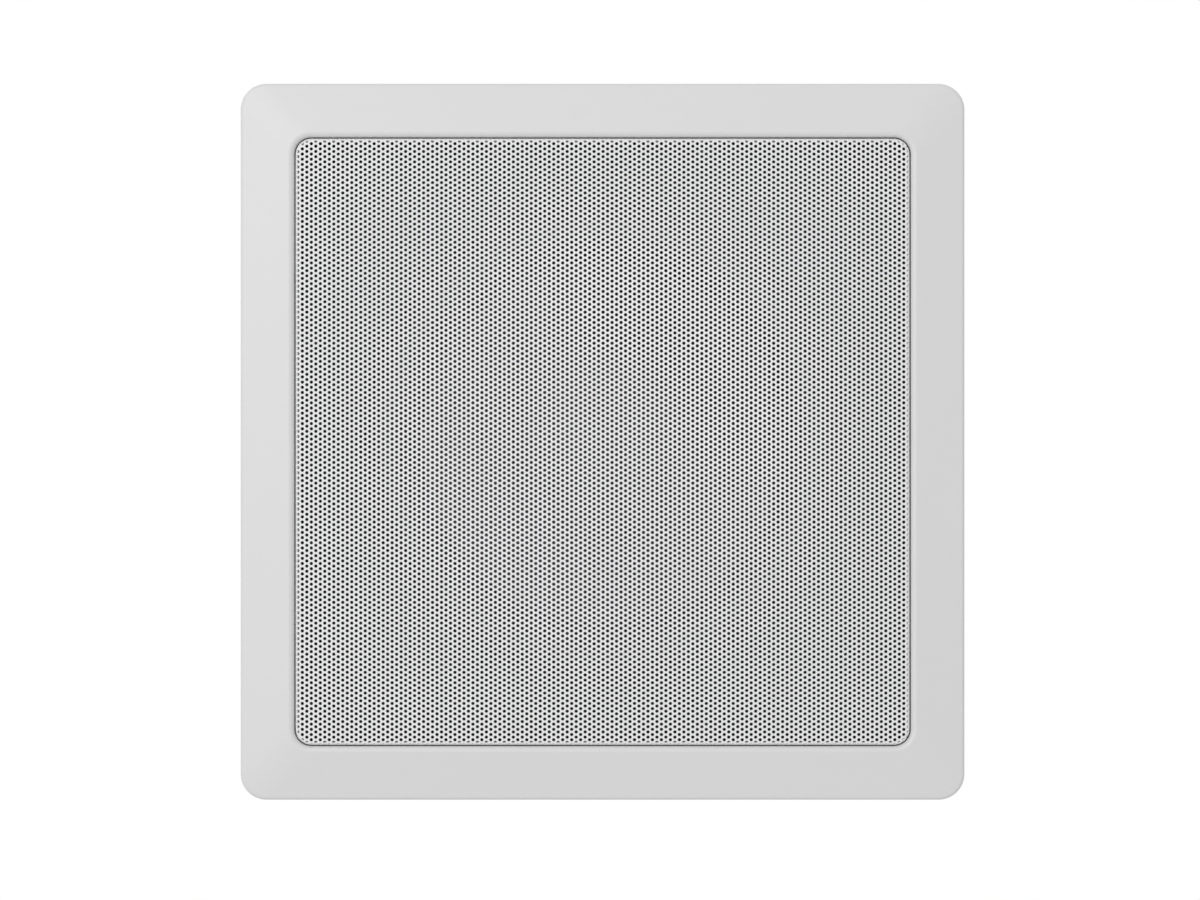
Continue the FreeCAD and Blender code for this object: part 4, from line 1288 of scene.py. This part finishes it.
@dataclass(frozen=True)
class FadingFloor:
    """Pale floor that keeps the part's shadow and fades into the white surround.

    Attributes:
        name: The material's name.
        colour: Its colour, linear.
        roughness: Its roughness.
        fade_start: Distance from the part's middle at which it starts to fade.
        fade_end: Distance at which it has faded.
        least_white: Share of white in it before it fades.
    """

    name: str = "pale_floor"
    colour: Colour = (0.8, 0.8, 0.8)
    roughness: float = 0.9
    fade_start: float = 0.35
    fade_end: float = 1.0
    least_white: float = 0.75

    def build(self) -> bpy.types.Material:
        """Make the finish.

        Returns:
            A new material.
        """
        shader = Shader(self.name)
        shader.set(Base_Color=(*self.colour, 1.0), Roughness=self.roughness, Specular_IOR_Level=0.0)
        glow = shader.node("ShaderNodeEmission", inputs={"Strength": 1.0})
        away = shader.node("ShaderNodeVectorMath", {"operation": "LENGTH"}, {0: shader.places})
        span = {"From Min": self.fade_start, "From Max": self.fade_end}
        white = {"To Min": self.least_white, "To Max": 1.0}
        fade = shader.node(
            "ShaderNodeMapRange", {"interpolation_type": "SMOOTHSTEP"},
            {"Value": away.outputs["Value"], **span, **white})
        share = shader.seen() * Signal(shader, fade.outputs[0])
        both = shader.node(
            "ShaderNodeMixShader", inputs={0: share, 1: shader.surface.outputs[0], 2: glow.outputs[0]})
        shader.feed(shader.only("OUTPUT_MATERIAL").inputs["Surface"], both.outputs[0])
        return shader.material


@dataclass(frozen=True)
class Lamp:
    """A soft panel lamp that faces the middle of the part.

    Attributes:
        name: Its name.
        place: Where it hangs.
        size: Length of the panel's sides.
        power: Its power, in watts.
    """

    name: str
    place: Place
    size: float
    power: float

    def build(self) -> None:
        """Hang the lamp."""
        light = bpy.data.lights.new(self.name, "AREA")
        light.size = self.size
        light.energy = self.power
        lamp = placed(self.name, light)
        lamp.location = self.place
        lamp.rotation_euler = (-Vector(self.place)).to_track_quat("-Z", "Y").to_euler()


@dataclass
class Studio:
    """White surround, pale floor, soft lamps and the camera.

    Attributes:
        distance: How far the camera stands before the flange's back.
        view_width: Width of the view at that distance.
        sensor: Width of the camera's sensor, in millimetres.
        aim: The middle of the view, across and up.
        floor_height: Height of the floor.
        floor_size: Half the length of the floor's sides.
        floor_finish: The floor's finish.
        sky: Strength of the even light from all round.
        lamps: The lamps.
    """

    distance: float = 1.29
    view_width: float = 0.4653
    sensor: float = 36.0
    aim: tuple[float, float] = (-0.00099, -0.0032)
    floor_height: float = -0.30
    floor_size: float = 6.0
    floor_finish: FadingFloor = FadingFloor()
    sky: float = 0.645
    lamps: tuple[Lamp, ...] = (
        Lamp("key_panel", place=(-1.35, -2.8, 1.0), size=1.4, power=38.5),
        Lamp("rear_panel", place=(0.9, 1.5, 0.9), size=1.0, power=7.0),
    )

    def camera(self) -> None:
        """Place the camera square to the grille."""
        data = bpy.data.cameras.new("camera")
        data.sensor_width = self.sensor
        data.lens = self.sensor * self.distance / self.view_width
        made = placed("camera", data)
        made.location = (self.aim[0], -self.distance, self.aim[1])
        made.rotation_euler = (math.pi / 2, 0.0, 0.0)
        bpy.context.scene.camera = made

    def world(self) -> None:
        """Light evenly from all round, and show white to the camera."""
        world = bpy.data.worlds.new("surround")
        bpy.context.scene.world = world
        world.use_nodes = True
        graph = Graph(world.node_tree)
        back = graph.only("BACKGROUND")
        graph.feed(back.inputs["Color"], (1.0, 1.0, 1.0, 1.0))
        graph.feed(back.inputs["Strength"], graph.seen() * (1 - self.sky) + self.sky)

    def floor(self) -> None:
        """Lay a pale floor well below the part, which keeps a soft shadow."""
        made = bmesh.new()
        bmesh.ops.create_grid(made, x_segments=1, y_segments=1, size=self.floor_size)
        bmesh.ops.translate(made, verts=made.verts[:], vec=(0.0, 0.0, self.floor_height))
        mesh = as_mesh("floor", made)
        mesh.materials.append(self.floor_finish.build())
        floor = placed("floor", mesh)

    def build(self) -> None:
        """Set up everything round the part."""
        bpy.context.scene.view_settings.view_transform = "Standard"
        self.camera()
        self.world()
        self.floor()
        for lamp in self.lamps:
            lamp.build()


def main() -> None:
    """Build and dress the part, then set up the studio."""
    logging.basicConfig(level=logging.INFO, format="%(name)s: %(message)s")
    finishes = Finishes()
    assemblies: tuple[Callable[[], None], ...] = (
        Housing(finishes).dress,
        Driver(finishes).dress,
        Terminals(finishes).dress,
        Clamps(finishes).dress,
    )
    for work in assemblies:
        work()
    PressedGrille().build(finishes.coat.build())
    Studio().build()


if __name__ == "__main__":
    main()
